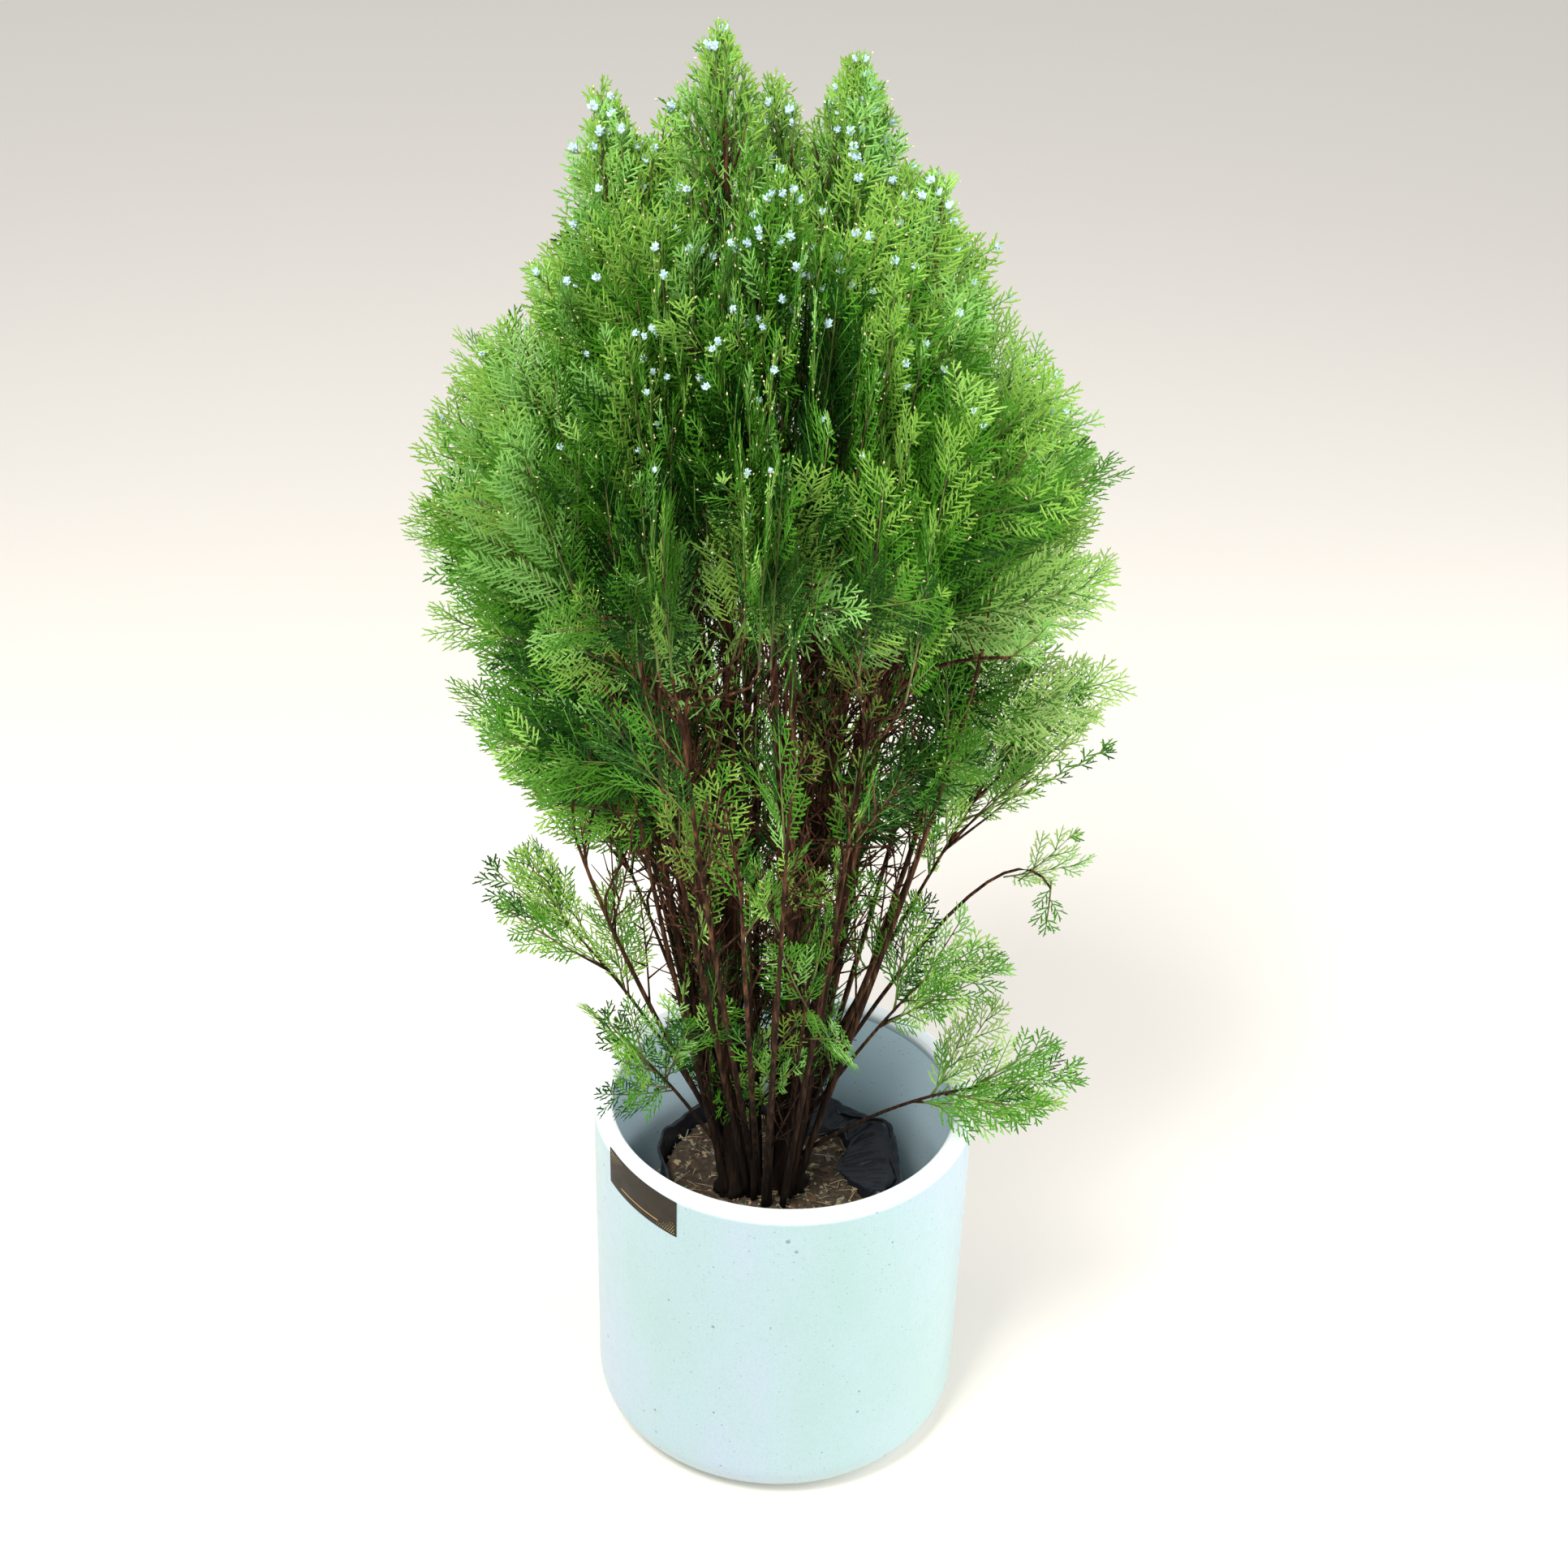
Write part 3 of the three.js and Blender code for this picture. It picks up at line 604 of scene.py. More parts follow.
def soil():
    foot = POT["floor"] + 4
    side = SOIL["side"] - 0.6
    outline = [(40, foot), (side - 15, foot), (side, foot + 16), (side, 120)]
    outline += [(side, SOIL_TOP - SOIL["dip"] - 6)]
    outline += [(r, SOIL_TOP - SOIL["dip"] * max(0, (r - 60) / 38)) for r in np.linspace(side - 2, 6, 26)]
    rings, _ = rings_of(outline, 120)
    top = (rings[:, :, 2] > SOIL_TOP - 8)
    lumps = roughness_at(rings, 0.07, 4) * 3.2 + roughness_at(rings, 0.3, 2)
    rings[:, :, 2] += top * (lumps.reshape(top.shape) - 0.5)
    rings[:, :, 1] += BAG["centre_y"]
    f = Finish("soil", (0.05, 0.032, 0.02), 0.95)
    place = f.place()
    crumbs = f.noise(place, 190, 5)
    earth = f.ramp(crumbs, [(0.3, (0.012, 0.008, 0.005)), (0.55, (0.045, 0.029, 0.017)),
                            (0.75, (0.14, 0.10, 0.06))])
    f.feed("Base Color", f.mix(f.noise(place, 22, 2) * 0.4, earth, (0.08, 0.06, 0.03)))
    f.relief(crumbs, 0.9, 0.004)
    centre = BAG["centre_y"]
    mesh = closed_rings("soil_ball", rings, (0, centre, foot), (0, centre, SOIL_TOP), f.material)
    return piece_of(mesh, ["soil"])


soil_piece = soil()

# %% [markdown]
# ## The plant's own rule
#
# Two short trunks rise from the soil and fork low down into upright boughs. Each bough ends where it enters
# its mass of foliage, and a stem runs on from it. These sizes and the rule below are the model's own, written
# again, so every stem, twig and spray here starts where its solid does. Lengths are millimetres.

# %% The plant's sizes
FOOT = SOIL_TOP + GAP
TRUNKS = [
    dict(name="trunk_left", foot=(-40, -15), tip=(-58, 0, 1040), radius=10.5, azimuth=200),
    dict(name="trunk_right", foot=(6, -8), tip=(14, 12, 1010), radius=11.5, azimuth=20),
]
TRUNK = dict(tip_radius=2.6, thinning=0.38)
FLARE = dict(share=0.4, height=0.04)
BOUGH = dict(root_radius=4.6, tip_radius=2.4)
STEM = dict(root_radius=3.2, tip_radius=1.4, steps=3, bow=0.35, share=0.66, bare=0.06)
CROWN_AXIS = dict(foot_x=-14, lean=-0.028)
CROWN_OUTLINE = [(520, 110), (590, 180), (670, 226), (750, 250), (830, 250), (890, 226), (960, 186),
                 (1020, 146), (1090, 112), (1138, 84), (1164, 40), (1178, 8)]
RINGS = [
    dict(name="skirt", count=8, first=12, tip=628, tip_share=0.44, centre=692, reach=772, lift=135,
         fork=240, fork_step=14, spray=155, sprays=8, splay=1, upright=0.25),
    dict(name="middle", count=6, first=38, tip=762, tip_share=0.4, centre=838, reach=905, lift=44,
         fork=380, fork_step=20, spray=155, sprays=8, splay=1, upright=0.4),
    dict(name="upper", count=5, first=342, tip=880, tip_share=0.42, centre=962, reach=1024, lift=8,
         fork=520, fork_step=30, spray=140, sprays=7, splay=1, upright=0.42),
]
CENTRE_SHARE = 0.62
REACH_SHARE = 1.01
CREST = [
    dict(name="crest_left", trunk=0, fork=None, centre=(-62, -4, 1098), tip=(-66, 0, 1168)),
    dict(name="crest_right", trunk=1, fork=None, centre=(24, 8, 1084), tip=(26, 6, 1150)),
    dict(name="crest_outer_left", trunk=0, fork=905, centre=(-136, -8, 1062), tip=(-142, -6, 1134)),
    dict(name="crest_outer_right", trunk=1, fork=865, centre=(78, -16, 1016), tip=(84, -20, 1092)),
    dict(name="crest_front", trunk=0, fork=885, centre=(-18, -88, 1040), tip=(-22, -92, 1104)),
    dict(name="crest_back", trunk=1, fork=865, centre=(-26, 88, 1040), tip=(-30, 84, 1112)),
]
CREST_GROWTH = dict(spray=80, sprays=8, splay=0.7, upright=0.5)
CREST_BARE = 0.6
LOW_NAMES = ("name", "trunk", "fork", "knee", "centre", "tip", "spray", "sprays", "radius", "bare")
LOW = [dict(zip(LOW_NAMES, row)) for row in [
    ("low_left_high", 0, 262, (-98, 6, 450), (-146, 0, 570), (-226, 4, 668), 130, 8, 116, 0.35),
    ("low_left", 0, 250, (-106, -24, 400), (-168, -24, 474), (-252, -20, 540), 96, 4, 90, 0.5),
    ("low_left_front", 0, 240, (-84, -56, 350), (-108, -84, 396), (-140, -98, 440), 84, 4, 66, 0.6),
    ("low_front", 1, 250, (8, -62, 400), (18, -86, 470), (30, -98, 552), 96, 4, 88, 0.6),
    ("low_right_high", 1, 290, (96, 10, 490), (152, 4, 618), (232, 6, 704), 130, 8, 110, 0.4),
    ("low_right", 1, 262, (66, -40, 400), (104, -52, 456), (152, -56, 500), 90, 4, 70, 0.6),
    ("low_right_sweep", 1, 240, (84, -44, 340), (164, -50, 356), (222, -52, 372), 100, 5, 74, 0.6),
    ("low_right_hanging", 1, 270, (160, 50, 560), (204, 40, 482), (204, 40, 430), 76, 3, 50, 0.68),
    ("low_back", 0, 285, (-30, 78, 410), (-46, 138, 470), (-56, 180, 524), 110, 5, 96, 0.55),
]]
LOW_GROWTH = dict(splay=0.95, upright=0.2)
TEETH = [(0.36, 0.22), (0.68, 0.27), (0.88, 0.15), (0.5, -0.27), (0.8, -0.22), (1, 0)]
OUTLINE_DEPTH = (0.92, 1.05)
SPRAY = dict(sink=7, bend=0.09, least=0.5, shrink=0.86)
RULE = dict(turn=137.5, splay=62, tip_splay=34, twist=18, clear=0.6, overhang=1.04)

# %% [markdown]
# The rule needs a source of random numbers that gives the same plant every time, and a few words of
# geometry: turning a direction about an axis, a level direction at an azimuth, and a smooth curve that its
# control points pull into shape.

# %% Chance and directions
def seeded(seed):
    """Repeatable numbers from 0 to 1, the same as in the model's source."""
    state = seed + 1

    def draw():
        nonlocal state
        state = state * 48271 % 2147483647
        return state / 2147483647

    for _ in range(8):
        draw()
    return draw


def unit(v):
    return v / np.linalg.norm(v, axis=-1, keepdims=True)


def turned(v, axis, degrees):
    """The vector v turned about a unit axis."""
    a = math.radians(degrees)
    return v * math.cos(a) + np.cross(axis, v) * math.sin(a) + axis * (axis @ v) * (1 - math.cos(a))


def flat_direction(degrees):
    return np.array([math.cos(math.radians(degrees)), math.sin(math.radians(degrees)), 0])


def level_normal(v):
    return flat_direction(math.degrees(math.atan2(v[1], v[0])) + 90)


def square_to(direction, face):
    """The face, turned just enough to stand square to a direction."""
    return unit(face - direction * (face @ direction))


def drawn_in(points, t):
    """One point from many: neighbours are blended, again and again, until one is left."""
    while len(points) > 1:
        points = lerp(points[:-1], points[1:], t)
    return points[0]


class Curve:
    """A smooth curve from its first control point to its last."""

    def __init__(self, *controls):
        self.controls = np.array(controls, float)

    def point(self, t):
        return drawn_in(self.controls, t)

    def tangent(self, t):
        return unit(drawn_in(np.diff(self.controls, axis=0), t))


def sampled(curves, shares):
    """Points along curves, as an array of (curves, shares, 3)."""
    return np.array([[curve.point(s) for s in shares] for curve in curves])


# %% The crown's outline
UP = np.array([0, 0, 1.0])


def axis_at(z):
    """The crown's axis at one height, or at many."""
    z = np.asarray(z, float)
    x = CROWN_AXIS["foot_x"] + CROWN_AXIS["lean"] * (z - SOIL_TOP)
    return np.stack([x, np.zeros_like(z), z], axis=-1)


def crown_radius(z):
    heights, radii = zip(*CROWN_OUTLINE)
    return np.interp(z, heights, radii)


def on_crown(azimuth, z, share):
    return axis_at(z) + flat_direction(azimuth) * crown_radius(z) * share


def depth_of(points):
    """How far out points lie: 0 on the crown's axis and 1 at its outline."""
    centre = axis_at(points[:, 2])
    return np.hypot(points[:, 0] - centre[:, 0], points[:, 1] - centre[:, 1]) / crown_radius(points[:, 2])


# %% Trunks and boughs
def trunk_curve(t):
    foot, tip = np.array([*t["foot"], FOOT]), np.array(t["tip"], float)
    lift = (tip[2] - foot[2]) / 3
    return Curve(foot, foot + UP * lift, tip - UP * lift, tip)


for t in TRUNKS:
    t["curve"] = trunk_curve(t)


def trunk_radius(t, s):
    flare = 1 + FLARE["share"] * np.exp(-s / FLARE["height"])
    return lerp(t["radius"], TRUNK["tip_radius"], s ** TRUNK["thinning"]) * flare


def share_on_trunk(trunk, z):
    low, high = 0.0, 1.0
    for _ in range(30):
        middle = (low + high) / 2
        if trunk["curve"].point(middle)[2] < z:
            low = middle
        else:
            high = middle
    return (low + high) / 2


def on_trunk(trunk, z):
    return trunk["curve"].point(share_on_trunk(trunk, z))


def ring_boughs(ring, ring_index):
    draw = seeded(100 + ring_index)
    boughs = []
    for i in range(ring["count"]):
        azimuth = ring["first"] + 360 / ring["count"] * (i + (draw() - 0.5) * 0.2)
        front = max(0, -math.sin(math.radians(azimuth)))
        lift = ring["lift"] * front * front + (draw() - 0.5) * 20
        end = on_crown(azimuth, ring["tip"] + lift, ring["tip_share"])
        centre = on_crown(azimuth, ring["centre"] + lift, CENTRE_SHARE)
        reach = on_crown(azimuth + (draw() - 0.5) * 8, ring["reach"] + lift, REACH_SHARE)
        trunk = TRUNKS[0 if end[0] < axis_at(end[2])[0] else 1]
        root = on_trunk(trunk, ring["fork"] + ring["fork_step"] * i)
        out = (end - root) * (1, 1, 0)
        climb = UP * (end[2] - root[2])
        curve = Curve(root, root + out * 0.42 + climb * 0.22, end - out * 0.16 - climb * 0.3, end)
        boughs.append({**ring, "name": f"{ring['name']}_{i + 1}", "group": ring["name"], "curve": curve,
                       "out": out, "centre": centre, "reach": reach, "seed": 1000 * (ring_index + 1) + i})
    return boughs


BOUGHS = [b for index, ring in enumerate(RINGS) for b in ring_boughs(ring, index)]
print("boughs:", len(BOUGHS))

# %% The stem inside each mass
def stem_towards(start, first, reach):
    middle = start + first * np.linalg.norm(reach - start) * STEM["bow"]
    return Curve(start, middle, lerp(start, reach, STEM["share"]))


def stem_on_bough(b):
    along = b["curve"].tangent(1)
    start = b["curve"].point(1) + along * GAP
    return {**b, "stem": stem_towards(start, along, b["reach"]), "bare": STEM["bare"]}


def stem_on_trunk(l, i):
    trunk = TRUNKS[l["trunk"]]
    reach = np.array(l["tip"], float)
    at_tip = l["fork"] is None
    start = trunk["curve"].point(1) + UP * GAP if at_tip else on_trunk(trunk, l["fork"])
    out = (reach - start) * (1, 1, 0)
    first = UP if at_tip else unit(out) * 0.8 + UP * 0.6
    return {**l, **CREST_GROWTH, "group": "crest", "stem": stem_towards(start, first, reach), "out": out,
            "reach": reach, "centre": np.array(l["centre"], float),
            "bare": STEM["bare"] if at_tip else CREST_BARE, "seed": 5000 + i}


def stem_low(l, i):
    start = on_trunk(TRUNKS[l["trunk"]], l["fork"])
    reach, centre = np.array(l["tip"], float), np.array(l["centre"], float)
    return {**l, **LOW_GROWTH, "group": "low", "stem": Curve(start, l["knee"], centre),
            "out": (reach - start) * (1, 1, 0), "reach": reach, "centre": centre, "seed": 7000 + i}


MASSES = [stem_on_bough(b) for b in BOUGHS]
MASSES += [stem_on_trunk(l, i) for i, l in enumerate(CREST)]
MASSES += [stem_low(l, i) for i, l in enumerate(LOW)]
print("masses:", len(MASSES))

# %% [markdown]
# Each mass has its own space: the points nearer to its centre than to any other's, within the crown's
# outline. Fine sprays may reach a little way into the next space, or the crown would show its seams, but
# never past the outline.

# %% Each mass's own space
CENTRES = np.array([m["centre"] for m in MASSES])


def over_planter(points):
    r = np.hypot(points[..., 0], points[..., 1])
    rim, inner = POT["rim"] + 5, POT["rim"] - POT["wall"] - 5
    return (points[..., 2] < POT["height"] + 5) & (r > inner) & (r < rim)


def inside(points, mass, slack=0.0):
    """Which points lie in a mass's space, or within slack of it."""
    others = CENTRES[np.any(CENTRES != mass["centre"], axis=1)]
    normals = unit(others - mass["centre"])
    offsets = normals @ mass["centre"] + np.linalg.norm(others - mass["centre"], axis=1) / 2
    near = np.all(points @ normals.T <= offsets - RULE["clear"] + slack, axis=-1)
    if "radius" in mass:
        away = np.linalg.norm(points - mass["centre"], axis=-1)
        return near & (away < mass["radius"]) & ~over_planter(points)
    centre = axis_at(points[..., 2])
    out = np.hypot(points[..., 0] - centre[..., 0], points[..., 1] - centre[..., 1])
    return near & (out < crown_radius(points[..., 2]) * RULE["overhang"] + 4)


def room_from(point, direction, mass, slack):
    far = np.arange(4, 404, 4)
    leaves = ~inside(point + direction * far[:, None], mass, slack)
    return 400.0 if not leaves.any() else float(far[leaves.argmax()] - 4)


# %% [markdown]
# A plume is one flat fan: an axis with a root, an aim, a face and a length. The first round of plumes of
# each mass is the model's own. Later rounds use the same rule with other seeds. Their plumes stand more
# nearly in the upright plane of their stem, as they do on this conifer, and end at any depth of the mass.

# %% Twigs and plumes of one mass
def on_stem(mass, share):
    step = min(STEM["steps"] - 1, int(share * STEM["steps"]))
    ends = [mass["stem"].point(s / STEM["steps"]) for s in (step, step + 1)]
    return lerp(ends[0], ends[1], share * STEM["steps"] - step)


def splayed(along, normal, turn, out, upright):
    around = unit(normal - along * (normal @ along))
    axis = turned(around, along, turn)
    return unit(turned(along, axis, out) + UP * upright)


def fitted(plume, mass, slack):
    """The longest form of a plume whose outline keeps to its space, or nothing."""
    root, aim, face, full, bend = plume
    across = np.cross(face, aim)
    far, wide = np.array(TEETH).T
    length = full
    while length > full * SPRAY["least"]:
        corners = (root + np.outer(far, aim) * length + np.outer(wide, across) * length
                   + np.outer(far ** 2, face) * bend * length)
        if inside(corners, mass, slack).all():
            return (root, aim, face, length, bend)
        length *= SPRAY["shrink"]
    return None


def growth_of(mass, number):
    """One round of twigs and plumes. Round 0 is the model's own."""
    draw = seeded(mass["seed"] + 97 * number)
    normal = level_normal(mass["out"])
    slack = 0 if number == 0 else 16
    twigs, plumes = [], []
    for i in range(mass["sprays"]):
        last = i == mass["sprays"] - 1
        share = 1 if last else mass["bare"] + (1 - mass["bare"]) * (i + 0.5 * draw()) / mass["sprays"]
        root = on_stem(mass, share)
        along = unit(mass["reach"] - root) if last else mass["stem"].tangent(share)
        splay = lerp(RULE["splay"], RULE["tip_splay"], share) * mass["splay"] * (0.8 + 0.4 * draw())
        chance = draw()
        turn = RULE["turn"] * i + 40 * chance if number == 0 else 180 * i + 90 * (chance - 0.5)
        splay *= 1 if number == 0 else 0.7
        upright = mass["upright"] + (0.35 if number and mass["group"] != "low" else 0)
        straight = last and number == 0
        direction = along if straight else splayed(along, normal, turn, splay, upright)
        page = normal if straight else np.cross(along, direction)
        face = square_to(direction, turned(page, direction, (draw() - 0.5) * 2 * RULE["twist"]))
        room = room_from(root, direction, mass, slack)
        length = min(mass["spray"] * (0.85 + 0.3 * draw()), max(room, 40))
        spare = 0 if last or room - length < 3 * SPRAY["sink"] else room - length
        if number:
            spare *= draw()
        base = root + direction * spare
        if spare:
            twigs.append(Curve(root, lerp(root, base, 0.5), base))
        bend = (draw() - 0.5) * 2 * SPRAY["bend"]
        sunk = SPRAY["sink"] if spare or last else 1
        plume = fitted((base - direction * sunk, direction, face, length, bend), mass, slack)
        if plume:
            plumes.append(plume)
    return twigs, plumes


# %% Plumes that stand on the limbs inside the crown
def limb_plumes(curve, out, seed, first, last, count, length, splay=26, upright=0.5):
    """Plumes along a stretch of a limb, upright and in two rows."""
    draw = seeded(seed)
    plumes = []
    for i in range(count):
        share = lerp(first, last, (i + draw()) / count)
        along = curve.tangent(share)
        turn = 180 * i + 150 * (draw() - 0.5)
        direction = splayed(along, level_normal(out), turn, splay + 22 * draw(), upright)
        face = square_to(direction, turned(np.cross(along, direction), direction, (draw() - 0.5) * 60))
        full, bend = length * (0.75 + 0.5 * draw()), (draw() - 0.5) * 0.2
        plumes.append((curve.point(share), direction, face, full, bend))
    return plumes


# %% [markdown]
# Besides the two trunks and their boughs, many thin stems rise from the soil, and the bare lower parts of
# all of them carry short dead twigs, painted nearly black by the bark's painted shade low down, and here and
# there a living sprig. They fill the space between the planter and the crown with a fine dark tangle.

# %% Thin stems, dead twigs and sprigs
WAND = dict(root_radius=2.9, tip_radius=1.2, count=34, heights=(560, 850), seed=31)
DEAD_TWIGS = dict(seed=41, count=620, heights=(270, 740), lengths=(40, 140), angles=(12, 44))
SPRIGS = dict(seed=43, count=100, heights=(290, 660), lengths=(45, 95), angles=(15, 45))
HIGH_SPRIGS = dict(seed=47, count=80, heights=(560, 860), lengths=(70, 120), angles=(10, 35))
FOOT_SPRIGS = dict(seed=53, count=46, heights=(285, 430), lengths=(35, 70), angles=(15, 50))


def wand_curves():
    """Thin stems from the soil that fan out as they rise."""
    draw = seeded(WAND["seed"])
    curves = []
    for i in range(WAND["count"]):
        azimuth = RULE["turn"] * i + 30 * draw()
        foot = np.array([-17, -9, FOOT - 4]) + flat_direction(azimuth) * (6 + 32 * draw()) * (1, 0.8, 1)
        top = lerp(*WAND["heights"], draw())
        tip = axis_at(top) + flat_direction(azimuth) * (50 + 145 * draw()) * (1, 0.75, 1)
        out, climb = (tip - foot) * (1, 1, 0), UP * (top - foot[2])
        curves.append(Curve(foot, foot + out * 0.3 + climb * 0.3, tip - out * 0.2 - climb * 0.3, tip))
    return curves


wands = wand_curves()


def twigs_on(curves, seed, count, heights, lengths, angles):
    """Short twigs that leave the limbs between two heights, as root, aim, face, length and bend."""
    draw = seeded(seed)
    found = []
    while len(found) < count:
        curve = curves[int(draw() * len(curves))]
        share = draw()
        root = curve.point(share)
        if not heights[0] < root[2] < heights[1]:
            continue
        along = curve.tangent(share)
        direction = splayed(along, flat_direction(360 * draw()), 360 * draw(), lerp(*angles, draw()), 0.1)
        end = root + direction * lengths[1]
        if over_planter(end) or end[2] < 250 or depth_of(end[None])[0] > 0.8:
            continue
        face = unit(np.cross(direction, UP + 0.4 * flat_direction(360 * draw())))
        found.append((root, direction, face, lerp(*lengths, draw()), 0.2 * (draw() - 0.5)))
    return found


limb_curves = [t["curve"] for t in TRUNKS] + [b["curve"] for b in BOUGHS] + wands
dead_twigs = twigs_on(limb_curves, **DEAD_TWIGS)
sprigs = twigs_on(limb_curves, **SPRIGS) + twigs_on(wands, **HIGH_SPRIGS)
sprigs += twigs_on(limb_curves, **FOOT_SPRIGS)
print("dead twigs:", len(dead_twigs), "sprigs:", len(sprigs))

# %% [markdown]
# The real crown is one even coat of plumes, so most of them are set from the outside in. Their tips are
# spread evenly over the crown, a golden angle apart, and each belongs to the mass whose space it lies in. A
# plume aims outwards low down and ever more upwards towards the top, and a twig joins its foot to the stem.
# At the front the plumes stand upright and end higher up, so the stems can be seen below them.

# %% Plumes spread over the crown
COAT = dict(low=735, high=1160, front_rise=190)
COATS = [
    dict(count=240, seed=71, depths=(0.86, 1.04), lengths=(140, 195)),
    dict(count=80, seed=73, depths=(0.5, 0.8), lengths=(110, 150), level=8),
]
STEEPNESS = dict(heights=[740, 830, 950, 1080], degrees=[16, 36, 54, 74], front=84)
FRONT = 270


def front_share(azimuth):
    """1 at the front of the plant and 0 at its sides and back."""
    return max(0.0, math.cos(math.radians(azimuth - FRONT)))


def coat_height(share, azimuth):
    """The height below which a share of the crown's surface lies, at one azimuth."""
    heights = np.linspace(COAT["low"], COAT["high"], 60)
    area = np.cumsum(crown_radius(heights) + 30)
    z = np.interp(share * area[-1], area, heights)
    low = COAT["low"] + COAT["front_rise"] * front_share(azimuth) ** 1.6
    return COAT["high"] - (COAT["high"] - z) * (COAT["high"] - low) / (COAT["high"] - COAT["low"])


def limb_samples():
    """Points and tangents along every limb and stem, past its first tenth."""
    curves = limb_curves + [m["stem"] for m in MASSES]
    samples = [(c.point(s), c.tangent(s)) for c in curves for s in np.linspace(0.1, 1, 30)]
    return (np.array(part) for part in zip(*samples))


LIMB_POINTS, LIMB_TANGENTS = limb_samples()


def plume_to(tip, azimuth, steep, length, draw):
    """A plume that ends at a tip, after the mass that it lies in and the twig that joins it to a limb."""
    own = [m for m in MASSES if m["group"] != "low"]
    centres = np.array([m["centre"] for m in own])
    mass = own[int(np.argmin(np.linalg.norm(centres - tip, axis=1)))]
    aim = flat_direction(azimuth) * math.cos(math.radians(steep)) + UP * math.sin(math.radians(steep))
    face = turned(flat_direction(azimuth + 90), aim, 70 * (draw() - 0.5))
    foot = tip - aim * length
    apart = foot - LIMB_POINTS
    cost = np.hypot(apart[:, 0], apart[:, 1]) + 0.5 * np.abs(apart[:, 2] - 60) + 1000 * (apart[:, 2] < 12)
    nearest = int(np.argmin(cost))
    start, reach = LIMB_POINTS[nearest], np.linalg.norm(apart[nearest])
    twig = Curve(start, start + LIMB_TANGENTS[nearest] * reach * 0.45, foot - aim * reach * 0.4, foot)
    return mass, twig, (foot, aim, face, length, 0.12 * (draw() - 0.5))


def coat(count, seed, depths, lengths, level=0.0):
    """Plumes with their tips spread over the crown, each with its mass and its twig."""
    draw = seeded(seed)
    found = []
    for i in range(count):
        azimuth = RULE["turn"] * i + 30 * (draw() - 0.5)
        front = front_share(azimuth)
        z = coat_height((i + draw()) / count, azimuth)
        depth = lerp(*depths, draw()) - 0.16 * front * np.clip((900 - z) / 200, 0, 1)
        steep = np.interp(z, STEEPNESS["heights"], STEEPNESS["degrees"]) + 16 * (draw() - 0.5) + level
        steep += (STEEPNESS["front"] - steep) * 0.85 * front
        length = lerp(*lengths, draw()) * np.interp(z, [900, 1160], [1, 0.72])
        found.append(plume_to(on_crown(azimuth, z, depth), azimuth, steep, length, draw))
    return found


# %% [markdown]
# Four more kinds of plumes give the crown its outline. A fringe of airy ones hangs below the coat at the
# sides and the back. Pointed ones stand out at the two sides, upright ones end the crest in separate peaks,
# and a few large fronds spread face on before the others at the front.

# %% Plumes that shape the outline
FRINGE = dict(count=52, seed=79, heights=(600, 765), sides=[0, 180, 90, 180, 180])
SIDE_SEED = 89
SIDE_NAMES = ("azimuth", "z", "depth", "steep")
SIDE_TIPS = [dict(zip(SIDE_NAMES, row)) for row in [
    (-6, 867, 1.07, 30), (-12, 930, 1.05, 44), (-2, 1013, 1.04, 60), (-5, 700, 1.10, 18),
    (-14, 784, 1.00, 14), (184, 804, 0.98, 26), (181, 890, 0.98, 42), (186, 723, 0.97, 10),
    (190, 940, 0.97, 52), (196, 845, 0.99, 34),
]]
SPIRES = dict(count=4, seed=83, length=125, lean=0.07)
FRONT_FRONDS = [
    ((-50, -110, 764), (14, -168, 930), 0.3), ((-46, -104, 756), (-16, -150, 905), -0.2),
    ((-46, -128, 808), (40, -178, 828), -0.5), ((-70, -96, 742), (-104, -150, 868), 0.1),
    ((-104, -84, 724), (-176, -150, 800), 0.2), ((20, -96, 742), (62, -150, 846), -0.1),
    ((-60, -90, 700), (-84, -130, 780), 0.4),
]


def fringe():
    """Airy plumes below the coat, at the sides and the back, each with its mass and its twig."""
    draw = seeded(FRINGE["seed"])
    found = []
    while len(found) < FRINGE["count"]:
        azimuth = FRINGE["sides"][len(found) % len(FRINGE["sides"])] + 90 * (draw() - 0.5)
        z = lerp(*FRINGE["heights"], draw())
        depth = lerp(0.74, 1.04, draw()) * np.interp(z, [600, 720], [0.86, 1])
        steep, length = lerp(8, 50, draw()), lerp(110, 170, draw())
        if front_share(azimuth) < 0.5:
            found.append(plume_to(on_crown(azimuth, z, depth), azimuth, steep, length, draw))
    return found


def side_tips():
    """Plumes whose pointed ends stand out at the crown's two sides, each with its mass and its twig."""
    draw = seeded(SIDE_SEED)
    found = []
    for t in SIDE_TIPS:
        tip = on_crown(t["azimuth"], t["z"], t["depth"])
        found.append(plume_to(tip, t["azimuth"], t["steep"], 140 + 30 * draw(), draw))
    return found


def spires():
    """Upright plumes on the tip of each crest mass, so that the crown ends in separate peaks."""
    draw = seeded(SPIRES["seed"])
    found = []
    for c in CREST:
        for _ in range(SPIRES["count"]):
            length = SPIRES["length"] * (0.8 + 0.25 * draw())
            aim = unit(UP + flat_direction(360 * draw()) * SPIRES["lean"])
            face = flat_direction(FRONT + 150 * (draw() - 0.5))
            tip = np.array(c["tip"], float) + flat_direction(360 * draw()) * 9 * draw() - UP * 26 * draw()
            found.append((tip - aim * length, aim, face, length, 0.08 * (draw() - 0.5)))
    return found


def front_fronds():
    """A few large fronds at the front, face on, that spread before the others."""
    found = []
    for root, tip, twist in FRONT_FRONDS:
        root, tip = np.array(root, float), np.array(tip, float)
        aim = unit(tip - root)
        face = np.cross(aim, np.cross((twist, -1.0, 0.45), aim))
        found.append((root, aim, unit(face), float(np.linalg.norm(tip - root)), 0.05))
    return found


